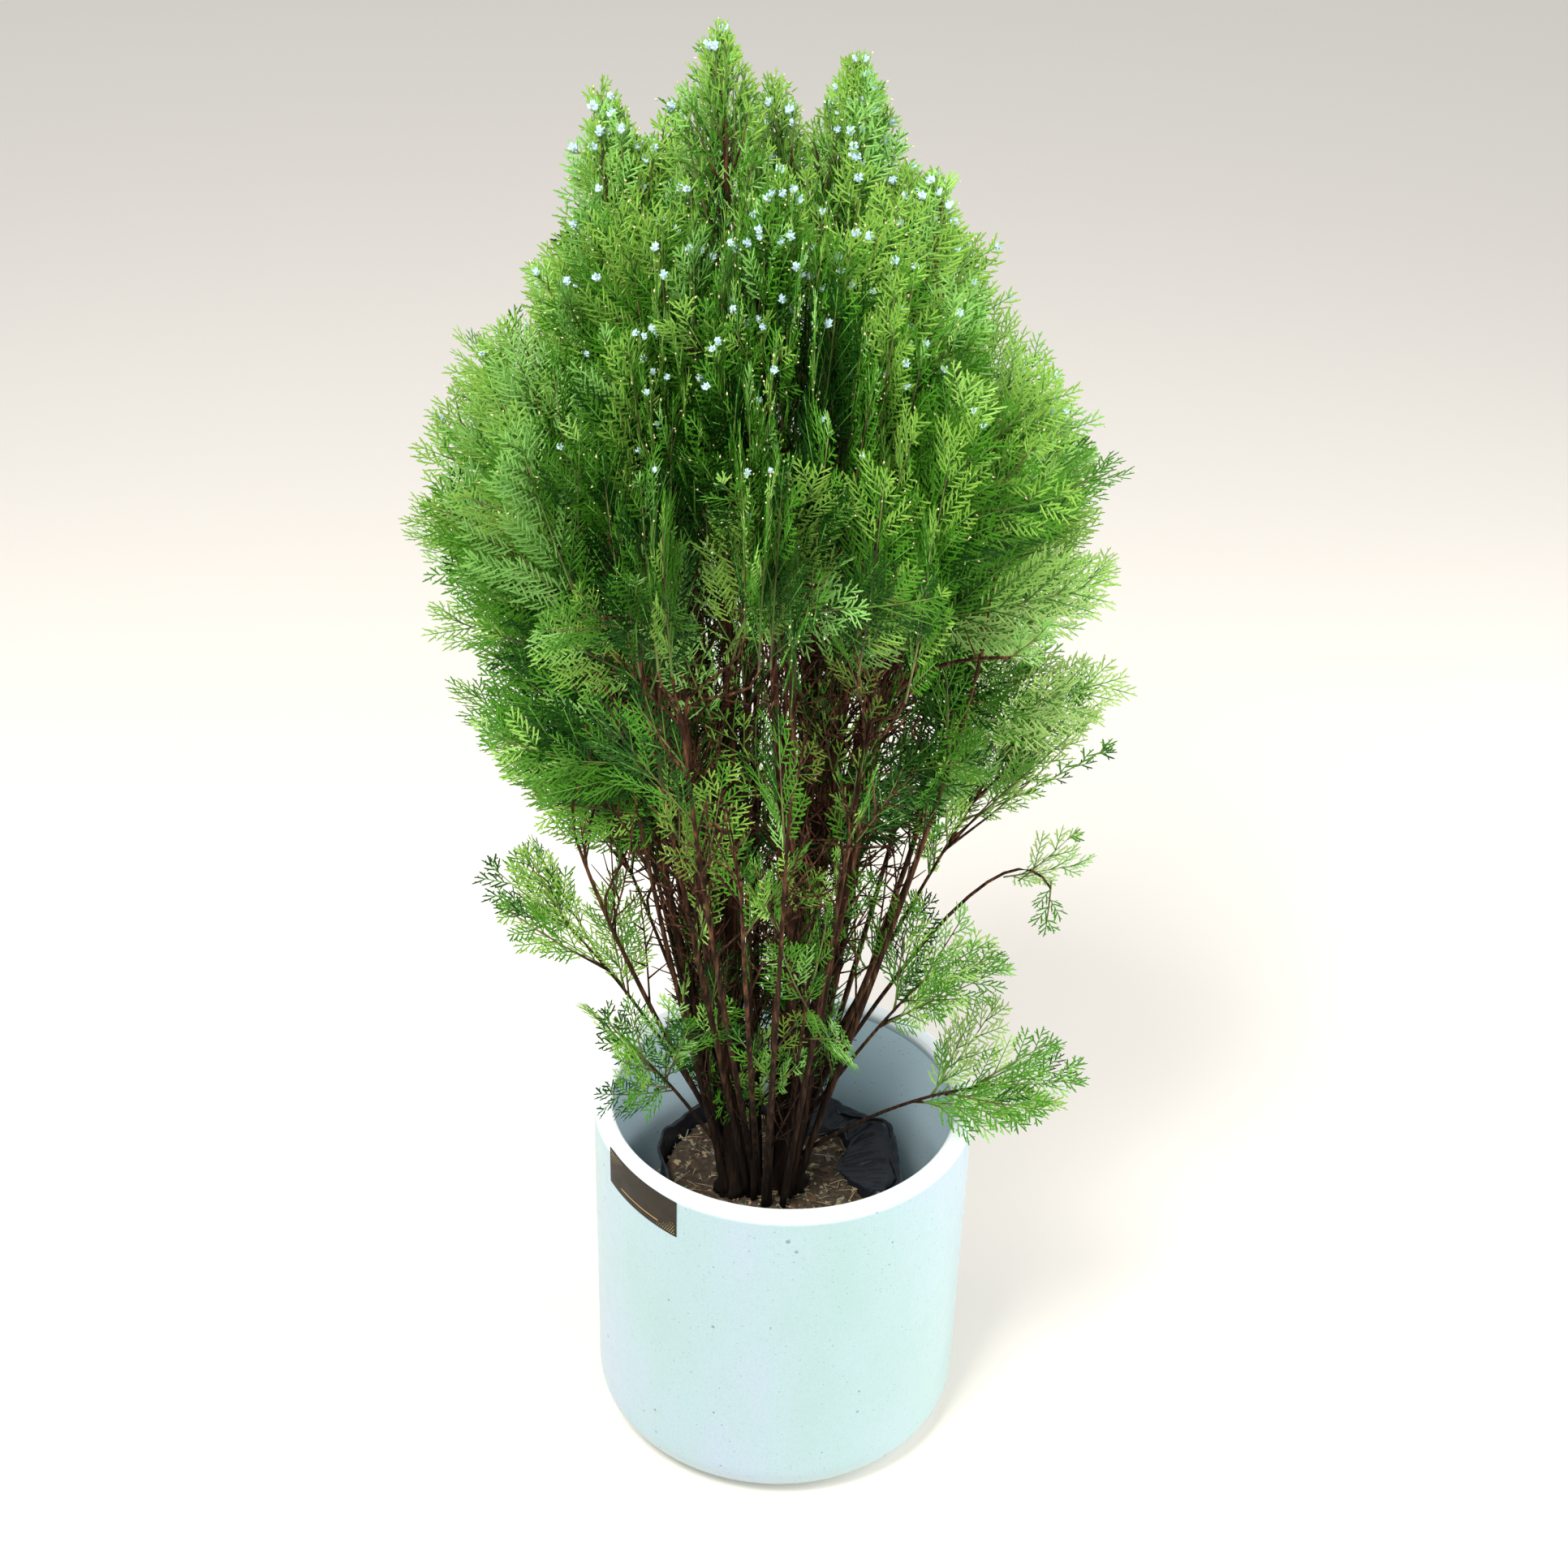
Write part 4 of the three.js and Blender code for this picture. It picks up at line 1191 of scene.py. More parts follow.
# %% All the plumes
ROUNDS = {"skirt": 1, "middle": 1, "upper": 1, "crest": 2}
LOW_ROUNDS = {"low_left_high": 5, "low_left": 3, "low_left_front": 2, "low_right_high": 4, "low_right": 2,
              "low_right_sweep": 2, "low_back": 2}
LIMB_START = {"skirt": 0.86, "middle": 0.66, "upper": 0.5}
BOUGH_PLUMES = dict(last=1, count=3, length=105)
TRUNK_PLUMES = dict(first=0.62, last=0.99, count=24, length=120, splay=12, upright=0.3)
BARE_HEIGHTS = (640, 755)
BELOW_THE_COAT = ("low", "sprig", "frond", "fringe", "edge")
FAR = 1e4
twigs, plumes, plume_group, plume_ball = [], [], [], []


def bare_below(point):
    """Below this height the stems are bare: higher at the front, where they can be seen."""
    return lerp(*BARE_HEIGHTS, np.clip((20 - point[1]) / 80, 0, 1))


def gather(group, found, centre=(0, 0, 0), radius=FAR):
    """Keeps plumes with the name of their group, and with the ball they must stay in."""
    if group not in BELOW_THE_COAT:
        found = [p for p in found if p[0][2] > bare_below(p[0])]
    plumes.extend(found)
    plume_group.extend([group] * len(found))
    plume_ball.extend([(*centre, radius)] * len(found))


def gather_with_twigs(found, group=None):
    """Keeps plumes that were set from the outside in, and the twigs that join them to their limbs."""
    for mass, twig, plume in found:
        twigs.append(twig)
        gather(group or mass["group"], [plume])


for mass in MASSES:
    for number in range(ROUNDS.get(mass["group"]) or LOW_ROUNDS.get(mass["name"], 1)):
        mass_twigs, mass_plumes = growth_of(mass, number)
        twigs += mass_twigs
        gather(mass["group"], mass_plumes, mass["centre"], mass.get("radius", FAR))
for own in COATS:
    gather_with_twigs(coat(**own))
gather_with_twigs(fringe(), "fringe")
for i, b in enumerate(BOUGHS):
    start = LIMB_START[b["group"]]
    gather(b["group"], limb_plumes(b["curve"], b["out"], 9000 + i, first=start, **BOUGH_PLUMES))
for i, t in enumerate(TRUNKS):
    across = flat_direction(t["azimuth"] + 90)
    gather("upper", limb_plumes(t["curve"], across, 9100 + i, **TRUNK_PLUMES))
gather("crest", spires())
gather("sprig", sprigs)
gather("frond", front_fronds())
gather_with_twigs(side_tips(), "edge")
print("plumes:", len(plumes), "twigs:", len(twigs))

# %% [markdown]
# ## From plumes to sprays to strands
#
# A plume branches into sprays and a spray into strands, each time in two rows in one plane. So one function
# serves both levels. It takes thousands of axes at once, as arrays, and gives the axes of their children.
# An axis bows a little in its plane, so that strands sweep forward, and a little out of it.

# %% Many axes at once
class Axes:
    """Axes as arrays: roots, aims, faces, lengths, bow in the plane and lift out of it."""

    PARTS = ("root", "aim", "face", "length", "bow", "lift")

    def __init__(self, root, aim, face, length, bow, lift):
        self.root, self.aim = root, unit(aim)
        self.length, self.bow, self.lift = length, bow, lift
        self.face = unit(face - self.aim * np.sum(face * self.aim, axis=1, keepdims=True))
        self.side = np.cross(self.face, self.aim)

    def __len__(self):
        return len(self.length)

    def pick(self, which):
        return Axes(*[getattr(self, part)[which] for part in self.PARTS])

    def points(self, t):
        """A point on each axis, at one share of its length for all or at a share for each."""
        t = np.broadcast_to(t, len(self))[:, None]
        way = t * self.aim + self.bow[:, None] * t ** 2 * self.side + self.lift[:, None] * t ** 2 * self.face
        return self.root + self.length[:, None] * way

    def tangents(self, t):
        t = np.broadcast_to(t, len(self))[:, None]
        return unit(self.aim + 2 * t * (self.bow[:, None] * self.side + self.lift[:, None] * self.face))

    def ends(self, share, length):
        """One straight axis on each, which carries on from a share of its length."""
        return Axes(self.points(share), self.tangents(share), self.face, length, self.bow * 0, self.lift * 0)

    def swept_up(self, amount):
        """The same axes, bent upwards as they grow."""
        self.bow = self.bow + amount * self.side[:, 2]
        self.lift = self.lift + amount * self.face[:, 2]
        return self

    @staticmethod
    def joined(*several):
        return Axes(*[np.concatenate([getattr(axes, part) for axes in several]) for part in Axes.PARTS])


def children(parents, counts, first, last, angle, sizes, sweep, tilt, chance):
    """Two rows of children on every parent, and for each child the number of its parent.

    counts is a number for each parent, and sizes gives a child's length from its parent's length and its
    place on the parent. sweep is how much a child bows forward, and tilt how far it leans out of the plane.
    """
    parent = np.repeat(np.arange(len(parents)), counts)
    order = np.arange(len(parent)) - np.repeat(np.cumsum(counts) - counts, counts)
    share = first + (last - first) * (order + chance.uniform(0, 0.7, len(parent))) / counts[parent]
    on = parents.pick(parent)
    hand = np.where((order + parent) % 2 == 0, 1.0, -1.0)
    along = on.tangents(share)
    side = np.cross(on.face, along)
    turn = np.radians(angle * chance.uniform(0.82, 1.18, len(parent)))[:, None]
    aim = along * np.cos(turn) + side * np.sin(turn) * hand[:, None]
    aim += on.face * chance.normal(0, tilt, len(parent))[:, None]
    face = on.face + chance.normal(0, tilt, (len(parent), 3))
    length = sizes(on.length, share) * chance.uniform(0.85, 1.12, len(parent))
    bow = -hand * sweep * chance.uniform(0.5, 1.5, len(parent))
    lift = chance.normal(0, 0.05, len(parent))
    return Axes(on.points(share), aim, face, length, bow, lift), parent


# %% [markdown]
# The crown has a few peaks with dips between them. So a plume that would stick out above the peaks' slopes is
# shortened until it ends a little above them, and a spray until it ends below them. The same goes for sprays
# that reach past the crown's outline, or past the ball that a low branch keeps to.

# %% How far plumes and sprays may reach
CROWN_TOP = dict(dip=1062, above=3, slope=2.0)
EDGE_DEPTH = 1.16
SHORTEN = dict(plume=0.92, spray=0.84, above=560, ball=0.92)


def crown_top(points):
    """How high sprays may reach: the crown ends in a few peaks, one on each crest mass."""
    tips = np.array([c["tip"] for c in CREST], float)
    apart = np.linalg.norm(points[:, None, :2] - tips[None, :, :2], axis=2)
    slopes = tips[:, 2] + CROWN_TOP["above"] - CROWN_TOP["slope"] * apart
    return np.maximum(CROWN_TOP["dip"], np.max(slopes, axis=1))


def under_top(axes, room):
    """The same axes, shortened until they end under the crown's top or little above it."""
    for _ in range(12):
        ends = axes.points(1)
        past = ends[:, 2] > crown_top(ends) + room
        axes.length = np.where(past, axes.length * SHORTEN["plume"], axes.length)
    return axes


def plume_depths():
    """How far out each plume may reach. Some at the sides stand out of the rest, as pointed tips do."""
    pick = np.random.default_rng(15)
    ends = PLUMES.points(1)
    across = ends - axis_at(ends[:, 2])
    sideways = across[:, 0] ** 2 / (across[:, 0] ** 2 + across[:, 1] ** 2)
    depths = pick.uniform(*OUTLINE_DEPTH, len(PLUMES)) + 0.10 * sideways * pick.random(len(PLUMES)) ** 2
    return np.where(group_of_plume == "edge", EDGE_DEPTH, depths)


def keep_inside(sprays, depths, balls):
    """Shortens the sprays that end past their depth, above the crown's top or out of their ball."""
    for _ in range(8):
        ends = sprays.points(1)
        past = (depth_of(ends) > depths) & (ends[:, 2] > SHORTEN["above"])
        past |= ends[:, 2] > crown_top(ends)
        past |= np.linalg.norm(ends - balls[:, :3], axis=1) > balls[:, 3] * SHORTEN["ball"]
        sprays.length = np.where(past, sprays.length * SHORTEN["spray"], sprays.length)


# %% Plumes into sprays
SPRAY_STEP = 11.5
SWEEP = {"skirt": 0.12, "middle": 0.12, "upper": 0.12, "crest": 0.12, "low": 0.04, "sprig": 0.1,
         "frond": 0.05, "fringe": 0.1, "edge": 0.1}
group_of_plume = np.array(plume_group)
plume_sweep = np.array([SWEEP[group] for group in plume_group])


def axes_of(found, seed):
    root, aim, face, length, bend = (np.array(part, float) for part in zip(*found))
    pick = np.random.default_rng(seed)
    return Axes(root, aim, face, length, pick.normal(0, 0.04, len(length)), bend)


def spray_length(whole, share):
    """Sprays make a plume egg-shaped: short at its foot, longest at a third and shorter to the tip."""
    return whole * 0.50 * np.minimum(1, 0.55 + 2 * share) * (1 - 0.86 * share) ** 0.75


PLUMES = under_top(axes_of(plumes, 11).swept_up(plume_sweep), 4)
side_counts = np.maximum(4, np.round(PLUMES.length / SPRAY_STEP)).astype(int)
SIDES, side_parent = children(
    PLUMES, side_counts, 0.06, 0.95, 37, spray_length, 0.10, 0.06, np.random.default_rng(12))
SPRAYS = Axes.joined(SIDES, PLUMES.ends(0.84, PLUMES.length * 0.19))
spray_plume = np.concatenate([side_parent, np.arange(len(PLUMES))])
SPRAYS.swept_up(0.6 * plume_sweep[spray_plume])
keep_inside(SPRAYS, plume_depths()[spray_plume], np.array(plume_ball)[spray_plume])
spray_group = group_of_plume[spray_plume]
print("sprays:", len(SPRAYS))

# %% [markdown]
# The tints are dealt out by spray. Deep inside the crown the sprays are painted a dark green, as painted
# shade, further out a full leaf green, and at the outline and towards the top a lighter green, as painted
# light, with some yellow-green young sprays and some with a grey bloom. The front below the top and the
# fringe are painted darker, as painted shade, and the sides, the lower right above all, lighter, as painted
# light. At the lower right many are paler still, and a few low ones are dying and olive.

# %% Tints by spray
TINTS = {
    "deep": (0.008, 0.064, 0.002),
    "leaf": (0.066, 0.235, 0.011),
    "bright": (0.232, 0.440, 0.060),
    "young": (0.300, 0.560, 0.105),
    "bloom": (0.240, 0.500, 0.115),
    "olive": (0.190, 0.270, 0.040),
    "pale": (0.350, 0.540, 0.150),
}
# Painted shading by depth: dark deep inside the crown for painted shade, light at the outline for painted
# light.
SHADING_BY_DEPTH = ["deep", "leaf", "bright"]
TINT_DEPTHS = [0.54, 0.79]
# Painted light at the top, the sides and the lower right, painted shade at the front and in the fringe.
PAINTED_SHADING = dict(height=0.14, front=-0.30, fringe=-0.14, left=0.06, right=0.06, low_right=0.10)
CHANCES = dict(bloom=0.26, frond_bloom=0.5, young=0.87, pale=0.3, olive=(0.42, 0.45))


def spray_tints():
    """The name of each spray's tint. The score is its depth, as painted shade, shifted by painted light and
    shade.
    """
    middle = SPRAYS.points(0.6)
    out = depth_of(middle)
    pick = np.random.default_rng(13)
    mood = pick.normal(0, 0.10, len(PLUMES))[spray_plume]
    kind = pick.random(len(PLUMES))[spray_plume]
    azimuth = np.arctan2(-middle[:, 1], middle[:, 0] - axis_at(middle[:, 2])[:, 0])
    front = np.clip(np.sin(azimuth), 0, 1) ** 4
    height = np.clip((middle[:, 2] - 900) / 260, 0, 1)
    # Painted light near the crown's top.
    painted_light_near_top = 0.94 - (crown_top(middle) - middle[:, 2]) / 260
    score = np.maximum(out, painted_light_near_top) + PAINTED_SHADING["height"] * height
    # Painted shade at the front and in the fringe, painted light at the lower right and the sides.
    score += PAINTED_SHADING["front"] * front * (1 - height) ** 0.5
    score += mood + pick.normal(0, 0.10, len(SPRAYS)) + PAINTED_SHADING["fringe"] * (spray_group == "fringe")
    low = np.isin(spray_group, ["low", "sprig"])
    right = np.clip((middle[:, 0] - 70) / 80, 0, 1)
    score = np.where(low, 0.66 + 0.26 * right + 2 * mood + pick.normal(0, 0.1, len(SPRAYS)), score)
    score += (PAINTED_SHADING["right"] + PAINTED_SHADING["low_right"] * (middle[:, 2] < 800)) * right * ~low
    score += PAINTED_SHADING["left"] * np.clip((-middle[:, 0] - 130) / 80, 0, 1)
    tint = np.array(SHADING_BY_DEPTH)[np.digitize(score, TINT_DEPTHS)]
    outer = tint == "bright"
    frond = spray_group == "frond"
    tint[frond] = "bright"
    tint[(outer & (kind < CHANCES["bloom"])) | (frond & (kind < CHANCES["frond_bloom"]))] = "bloom"
    tint[outer & (kind > CHANCES["young"])] = "young"
    tint[outer & (middle[:, 0] > 105) & (middle[:, 2] < 790) & (kind > CHANCES["pale"])] = "pale"
    dying = (kind > CHANCES["olive"][0]) & (kind < CHANCES["olive"][1])
    tint[dying & (middle[:, 2] < 760) & (out < 0.9)] = "olive"
    return tint


spray_tint = spray_tints()
for name in TINTS:
    print(name, "sprays:", (spray_tint == name).sum())

# %% Sprays into strands
STRAND_STEP = 3.3
TIP_STRAND = 8.0
THINNED = dict(depth=0.5, above=600, share=0.4)


def strand_length(whole, share):
    return 9.0 + whole * 0.14 * (1 - 0.5 * share)


def strands():
    """Strands on every spray, thinned out deep inside the crown, and the number of each strand's spray."""
    counts = np.maximum(3, np.round(SPRAYS.length / STRAND_STEP)).astype(int)
    pick = np.random.default_rng(14)
    rows, parent = children(SPRAYS, counts, 0.05, 0.97, 41, strand_length, 0.18, 0.05, pick)
    rows.face = rows.face * np.sign(rows.bow)[:, None]
    tips = SPRAYS.ends(0.97, np.full(len(SPRAYS), TIP_STRAND))
    kept = (depth_of(rows.root) > THINNED["depth"]) | (rows.root[:, 2] < THINNED["above"])
    kept |= pick.random(len(rows)) < THINNED["share"]
    return Axes.joined(rows.pick(kept), tips), np.concatenate([parent[kept], np.arange(len(SPRAYS))])


STRANDS, strand_spray = strands()
print("strands:", len(STRANDS), "length", STRANDS.length.min().round(1), "to", STRANDS.length.max().round(1))

# %% [markdown]
# ## One branchlet, set out by the thousand
#
# A strand carries a few short side tips, so each strand of the crown is one small branchlet with only a few
# faces. Three forms are enough: a long one, a middling one and a bud-like short one. Each is a thin strip
# that narrows to a blunt tip, with kite-shaped tips in two rows, folded a little along the middle so that
# they catch the light differently.

# %% The branchlets' forms
STRIP_WIDTH = 1.45
TIP_ANGLE = math.radians(30)
FORMS = [
    dict(name="short", length=9.0, tips=[(0.4, -1)]),
    dict(name="middle", length=13.0, tips=[(0.25, -1), (0.52, 1)]),
    dict(name="long", length=18.0, tips=[(0.2, -1), (0.42, 1), (0.64, -1)]),
]
FORM_LIMITS = [10.8, 15.5]


def branchlet(name, length, tips):
    """A branchlet that lies along +X with its face to +Z, in millimetres."""
    half = STRIP_WIDTH / 2

    def bow(x):
        return 0.15 * x * x / length

    middle, end = 0.5 * length, length - 1.5
    points = [(0, -0.7 * half, 0), (0, 0.7 * half, 0), (middle, bow(middle) - half, 0),
              (middle, bow(middle), 0.5), (middle, bow(middle) + half, 0),
              (end, bow(end) - 0.85 * half, 0), (end, bow(end) + 0.85 * half, 0), (length, bow(length), 0)]
    faces = [(0, 2, 3), (0, 3, 1), (1, 3, 4), (2, 5, 3), (3, 5, 6), (3, 6, 4), (5, 7, 6)]
    for share, hand in tips:
        x = share * length
        a = TIP_ANGLE * hand
        along = np.array([math.cos(a), math.sin(a), 0.05]) * (2.4 + 0.16 * length * (1 - share))
        wide = np.array([-math.sin(a), math.cos(a), 0]) * half * 0.75
        root, first = np.array([x, bow(x), 0.1]), len(points)
        points += [root, root + along * 0.7 + wide, root + along, root + along * 0.7 - wide]
        faces += [(first, first + 2, first + 1), (first, first + 3, first + 2)]
    return mesh_of(name, points, faces, smooth=False)


def shelf_of(label, meshes):
    """A collection of forms for Geometry Nodes, which number them in the order of their names."""
    shelf = bpy.data.collections.new(label)
    for number, mesh in enumerate(meshes):
        shelf.objects.link(bpy.data.objects.new(f"{label}_{number}", mesh))
    return shelf


BRANCHLETS = shelf_of("branchlet", [branchlet(**form) for form in FORMS])

# %% [markdown]
# Geometry Nodes set the branchlets out. A mesh of bare points goes in, each with its aim, its face, its size
# and the number of its form. The tree puts the form on the point, turns its X axis to the aim and its Z
# axis to the face, makes the copies real and gives them their material. The same tree sets out the cones and
# the plate's dots.

# %% A Geometry Nodes tree with named inputs
class Recipe(Tree):
    """A Geometry Nodes tree that ends in Realize Instances and Set Material."""

    def __init__(self, name):
        super().__init__(bpy.data.node_groups.new(name, "GeometryNodeTree"))
        for way in ("INPUT", "OUTPUT"):
            self.nodes.interface.new_socket("Geometry", in_out=way, socket_type="NodeSocketGeometry")
        self.start = self.nodes.nodes.new("NodeGroupInput")
        self.end = self.nodes.nodes.new("NodeGroupOutput")
        self.given = Value(self, self.start.outputs["Geometry"])

    def ask(self, label, kind):
        self.nodes.interface.new_socket(label, in_out="INPUT", socket_type=kind)
        return Value(self, self.start.outputs[label])

    def shelf(self, label):
        """The separate objects of a collection that the tree asks for."""
        forms = self.ask(label, "NodeSocketCollection")
        values = {"Collection": forms, "Separate Children": True, "Reset Children": True}
        return self.put("GeometryNodeCollectionInfo", values=values)

    def named(self, label, kind):
        return self.put("GeometryNodeInputNamedAttribute", {"data_type": kind}, {"Name": label}, "Attribute")

    def close(self, geometry):
        finish = self.ask("Finish", "NodeSocketMaterial")
        real = self.put("GeometryNodeRealizeInstances", values={"Geometry": geometry})
        dressed = self.put("GeometryNodeSetMaterial", values={"Geometry": real, "Material": finish})
        self.nodes.links.new(dressed.socket, self.end.inputs["Geometry"])

    def run(self, piece, inputs):
        """Applies the tree to a piece and leaves it a plain mesh."""
        modifier = piece.modifiers.new(self.nodes.name, "NODES")
        modifier.node_group = self.nodes
        for socket in self.nodes.interface.items_tree:
            if socket.in_out == "INPUT" and socket.name in inputs:
                modifier[socket.identifier] = inputs[socket.name]
        bpy.context.view_layer.update()
        graph = bpy.context.evaluated_depsgraph_get()
        mesh = bpy.data.meshes.new_from_object(piece.evaluated_get(graph), depsgraph=graph)
        piece.modifiers.remove(modifier)
        piece.data = mesh
        return piece


def set_out_recipe():
    r = Recipe("set_out")
    shelf = r.shelf("Forms")
    aim, facing = r.named("aim", "FLOAT_VECTOR"), r.named("facing", "FLOAT_VECTOR")
    turn = r.put("FunctionNodeAxesToRotation", {"primary_axis": "X", "secondary_axis": "Z"},
                 {"Primary Axis": aim, "Secondary Axis": facing})
    r.close(r.put("GeometryNodeInstanceOnPoints", values={
        "Points": r.given, "Instance": shelf, "Pick Instance": True, "Instance Index": r.named("form", "INT"),
        "Rotation": turn, "Scale": r.named("size", "FLOAT")}))
    return r


SET_OUT = set_out_recipe()


def set_out(name, points, aim, facing, size, shelf, material, form=None):
    """A piece made of the shelf's forms, one on each point, and the first form if none is named."""
    mesh = mesh_of(name, points, [])
    form = np.zeros(len(points), int) if form is None else form
    for label, kind, values in (("aim", "FLOAT_VECTOR", aim), ("facing", "FLOAT_VECTOR", facing),
                                ("size", "FLOAT", size), ("form", "INT", form)):
        attribute = mesh.attributes.new(label, kind, "POINT")
        field = "vector" if kind == "FLOAT_VECTOR" else "value"
        attribute.data.foreach_set(field, np.asarray(values).ravel())
    return SET_OUT.run(linked(name, mesh), {"Forms": shelf, "Finish": material})


# %% The foliage
PIECE_GROUPS = {"skirt": ["skirt", "frond"], "middle": ["middle", "edge"], "top": ["upper", "crest"],
                "low": ["low", "sprig", "fringe"]}
FEWEST_STRANDS = 20


def leaf_finish(name, colour):
    f = Finish(f"foliage_{name}", colour, 0.6, Specular_IOR_Level=0.2)
    f.two_tone(45, 2, tuple(c * 0.72 for c in colour), tuple(min(1, c * 1.25) for c in colour))
    return f.material


def nodes_of(groups):
    return [n for n in NODES if n.startswith(tuple(f"foliage_{g}_" for g in groups))]


strand_form = np.digitize(STRANDS.length, FORM_LIMITS)
form_length = np.array([form["length"] for form in FORMS])[strand_form]
strand_size = np.clip(STRANDS.length / form_length, 0.7, 1.3)


def foliage():
    """One piece for each tint and part of the crown. Each stands for the masses of its part."""
    group, tint = spray_group[strand_spray], spray_tint[strand_spray]
    for tint_name, colour in TINTS.items():
        material = leaf_finish(tint_name, colour)
        for label, groups in PIECE_GROUPS.items():
            which = (tint == tint_name) & np.isin(group, groups)
            if which.sum() < FEWEST_STRANDS:
                continue
            s = STRANDS.pick(which)
            piece = set_out(f"leaves_{label}_{tint_name}", s.root, s.aim, s.face, strand_size[which],
                            BRANCHLETS, material, strand_form[which])
            settle(piece, nodes_of(groups))


foliage()

# %% [markdown]
# ## Bark and twigs
#
# The stems are red-brown, with bark that splits into thin strips lengthwise, and low down, in the shade
# under the crown, they are painted nearly black as painted shade. Each limb is a tube along its curve, with
# enough sides for its bark to be real relief: ridges that run along it, broken up by noise. The model's
# limbs give the curve and the radius, and the tubes replace them.

# %% Tubes along curves
def tubes(name, paths, radii, material):
    """Closed tubes: paths are (tubes, steps, 3) and radii (tubes, steps, sides), in millimetres."""
    count, steps, sides = radii.shape
    ahead = unit(np.gradient(paths, axis=1))
    guide = np.tile([0.0, 0.0, 1.0], (count, 1))
    steep = np.abs(ahead[:, 0, 2]) > 0.8
    guide[steep] = [1.0, 0.0, 0.0]
    side = unit(guide[:, None, :] - ahead * np.sum(guide[:, None, :] * ahead, axis=2, keepdims=True))
    other = np.cross(ahead, side)
    angles = np.arange(sides) * 2 * math.pi / sides
    spoke = side[:, :, None] * np.cos(angles)[:, None] + other[:, :, None] * np.sin(angles)[:, None]
    points = (paths[:, :, None] + spoke * radii[..., None]).reshape(-1, 3)
    faces = []
    for t in range(count):
        base = t * steps * sides
        for i in range(steps - 1):
            faces += band(base + i * sides, base + (i + 1) * sides, sides)
        faces.append(tuple(base + j for j in reversed(range(sides))))
        faces.append(tuple(base + (steps - 1) * sides + j for j in range(sides)))
    return mesh_of(name, points, faces, material)


def bark_radii(path, radius, sides, depth):
    """Radii of one limb with ridges of bark along it."""
    steps = len(path)
    angles = np.arange(sides) * 2 * math.pi / sides
    length = np.concatenate([[0], np.cumsum(np.linalg.norm(np.diff(path, axis=0), axis=1))])
    ring = np.stack([np.tile(np.cos(angles), (steps, 1)) * 7, np.tile(np.sin(angles), (steps, 1)) * 7,
                     np.tile(length[:, None] * 0.11, (1, sides))], axis=-1) + path[0]
    ridges = roughness_at(ring, 0.42, 3).reshape(steps, sides)
    knots = np.clip(roughness_at(ring * (0.3, 0.3, 1.6), 0.5, 1).reshape(steps, sides) - 0.35, 0, 1)
    return radius[:, None] * (1 + depth * ridges + 0.5 * knots)


# %% Bark
PAINTED_SHADE_AT_FOOT = (0.22, 0.60)


def bark_finish():
    f = Finish("bark", (0.055, 0.028, 0.018), 0.9, Specular_IOR_Level=0.15)
    strips = f.noise(f.place((1, 1, 0.09)), 330, 4)
    patches = f.noise(f.place((1, 1, 0.3)), 28, 3)
    colour = f.ramp(strips, [(0.30, (0.007, 0.003, 0.001)), (0.50, (0.048, 0.019, 0.009)),
                             (0.70, (0.22, 0.095, 0.046))])
    # Painted shade: the bark goes nearly black towards the foot, under the crown.
    foot = f.span(f.height_of(f.place()), *PAINTED_SHADE_AT_FOOT, 0.90, 0.0)
    colour = f.mix(patches * 0.3, colour, (0.030, 0.013, 0.007))
    f.feed("Base Color", f.mix(foot, colour, (0.008, 0.006, 0.004)))
    f.relief(strips, 0.8, 0.0015)
    return f.material


BARK = bark_finish()


def tapered(sizes, count, steps):
    """The plain radii of many limbs of one kind, from root to tip, as an array of (count, steps)."""
    return np.tile(lerp(sizes["root_radius"], sizes["tip_radius"], np.linspace(0, 1, steps)), (count, 1))


def barked(name, curves, plain, sides, depth, replaces=()):
    """A piece of limbs with bark in relief, from the plain radii along each."""
    paths = sampled(curves, np.linspace(0, 1, plain.shape[1]))
    radii = np.array([bark_radii(path, radius, sides, depth) for path, radius in zip(paths, plain)])
    piece_of(tubes(name, paths, radii, BARK), replaces)


trunk_radii = np.array([trunk_radius(t, np.linspace(0, 1, 150)) for t in TRUNKS])
barked("trunks_bark", [t["curve"] for t in TRUNKS], trunk_radii, 20, 0.20, [t["name"] for t in TRUNKS])
barked("boughs_bark", [b["curve"] for b in BOUGHS], tapered(BOUGH, len(BOUGHS), 76), 12, 0.16,
       [f"bough_{b['name']}" for b in BOUGHS])

# %% [markdown]
# The finer wood is plainer: stems, twigs and the axes of plumes and sprays are smooth tubes with few sides,
# since no ridge of theirs could be seen. The plumes' axes turn from brown wood to green in patches.

# %% Stems and twigs inside the masses
TWIG = dict(root_radius=1.3, tip_radius=0.8)
SLIM = dict(low=0.62, other=0.8)


def plain_tubes(name, paths, radii, sides, material):
    """Smooth tubes, with one radius for each ring."""
    return tubes(name, paths, np.repeat(radii[..., None], sides, axis=-1), material)


def stem_pieces():
    """The stem of each mass, thinner in the low branches, and all the twigs."""
    slim = np.array([SLIM["low" if m["group"] == "low" else "other"] for m in MASSES])
    radii = tapered(STEM, len(MASSES), 14) * slim[:, None]
    paths = sampled([m["stem"] for m in MASSES], np.linspace(0, 1, 14))
    piece_of(plain_tubes("stems_bark", paths, radii, 7, BARK))
    paths = sampled(twigs, np.linspace(0, 1, 6))
    piece_of(plain_tubes("twigs_woody", paths, tapered(TWIG, len(twigs), 6), 5, BARK))


stem_pieces()

# %% Thin stems and dead twigs
DEAD_WOOD = dict(root_radius=0.9, tip_radius=0.35)


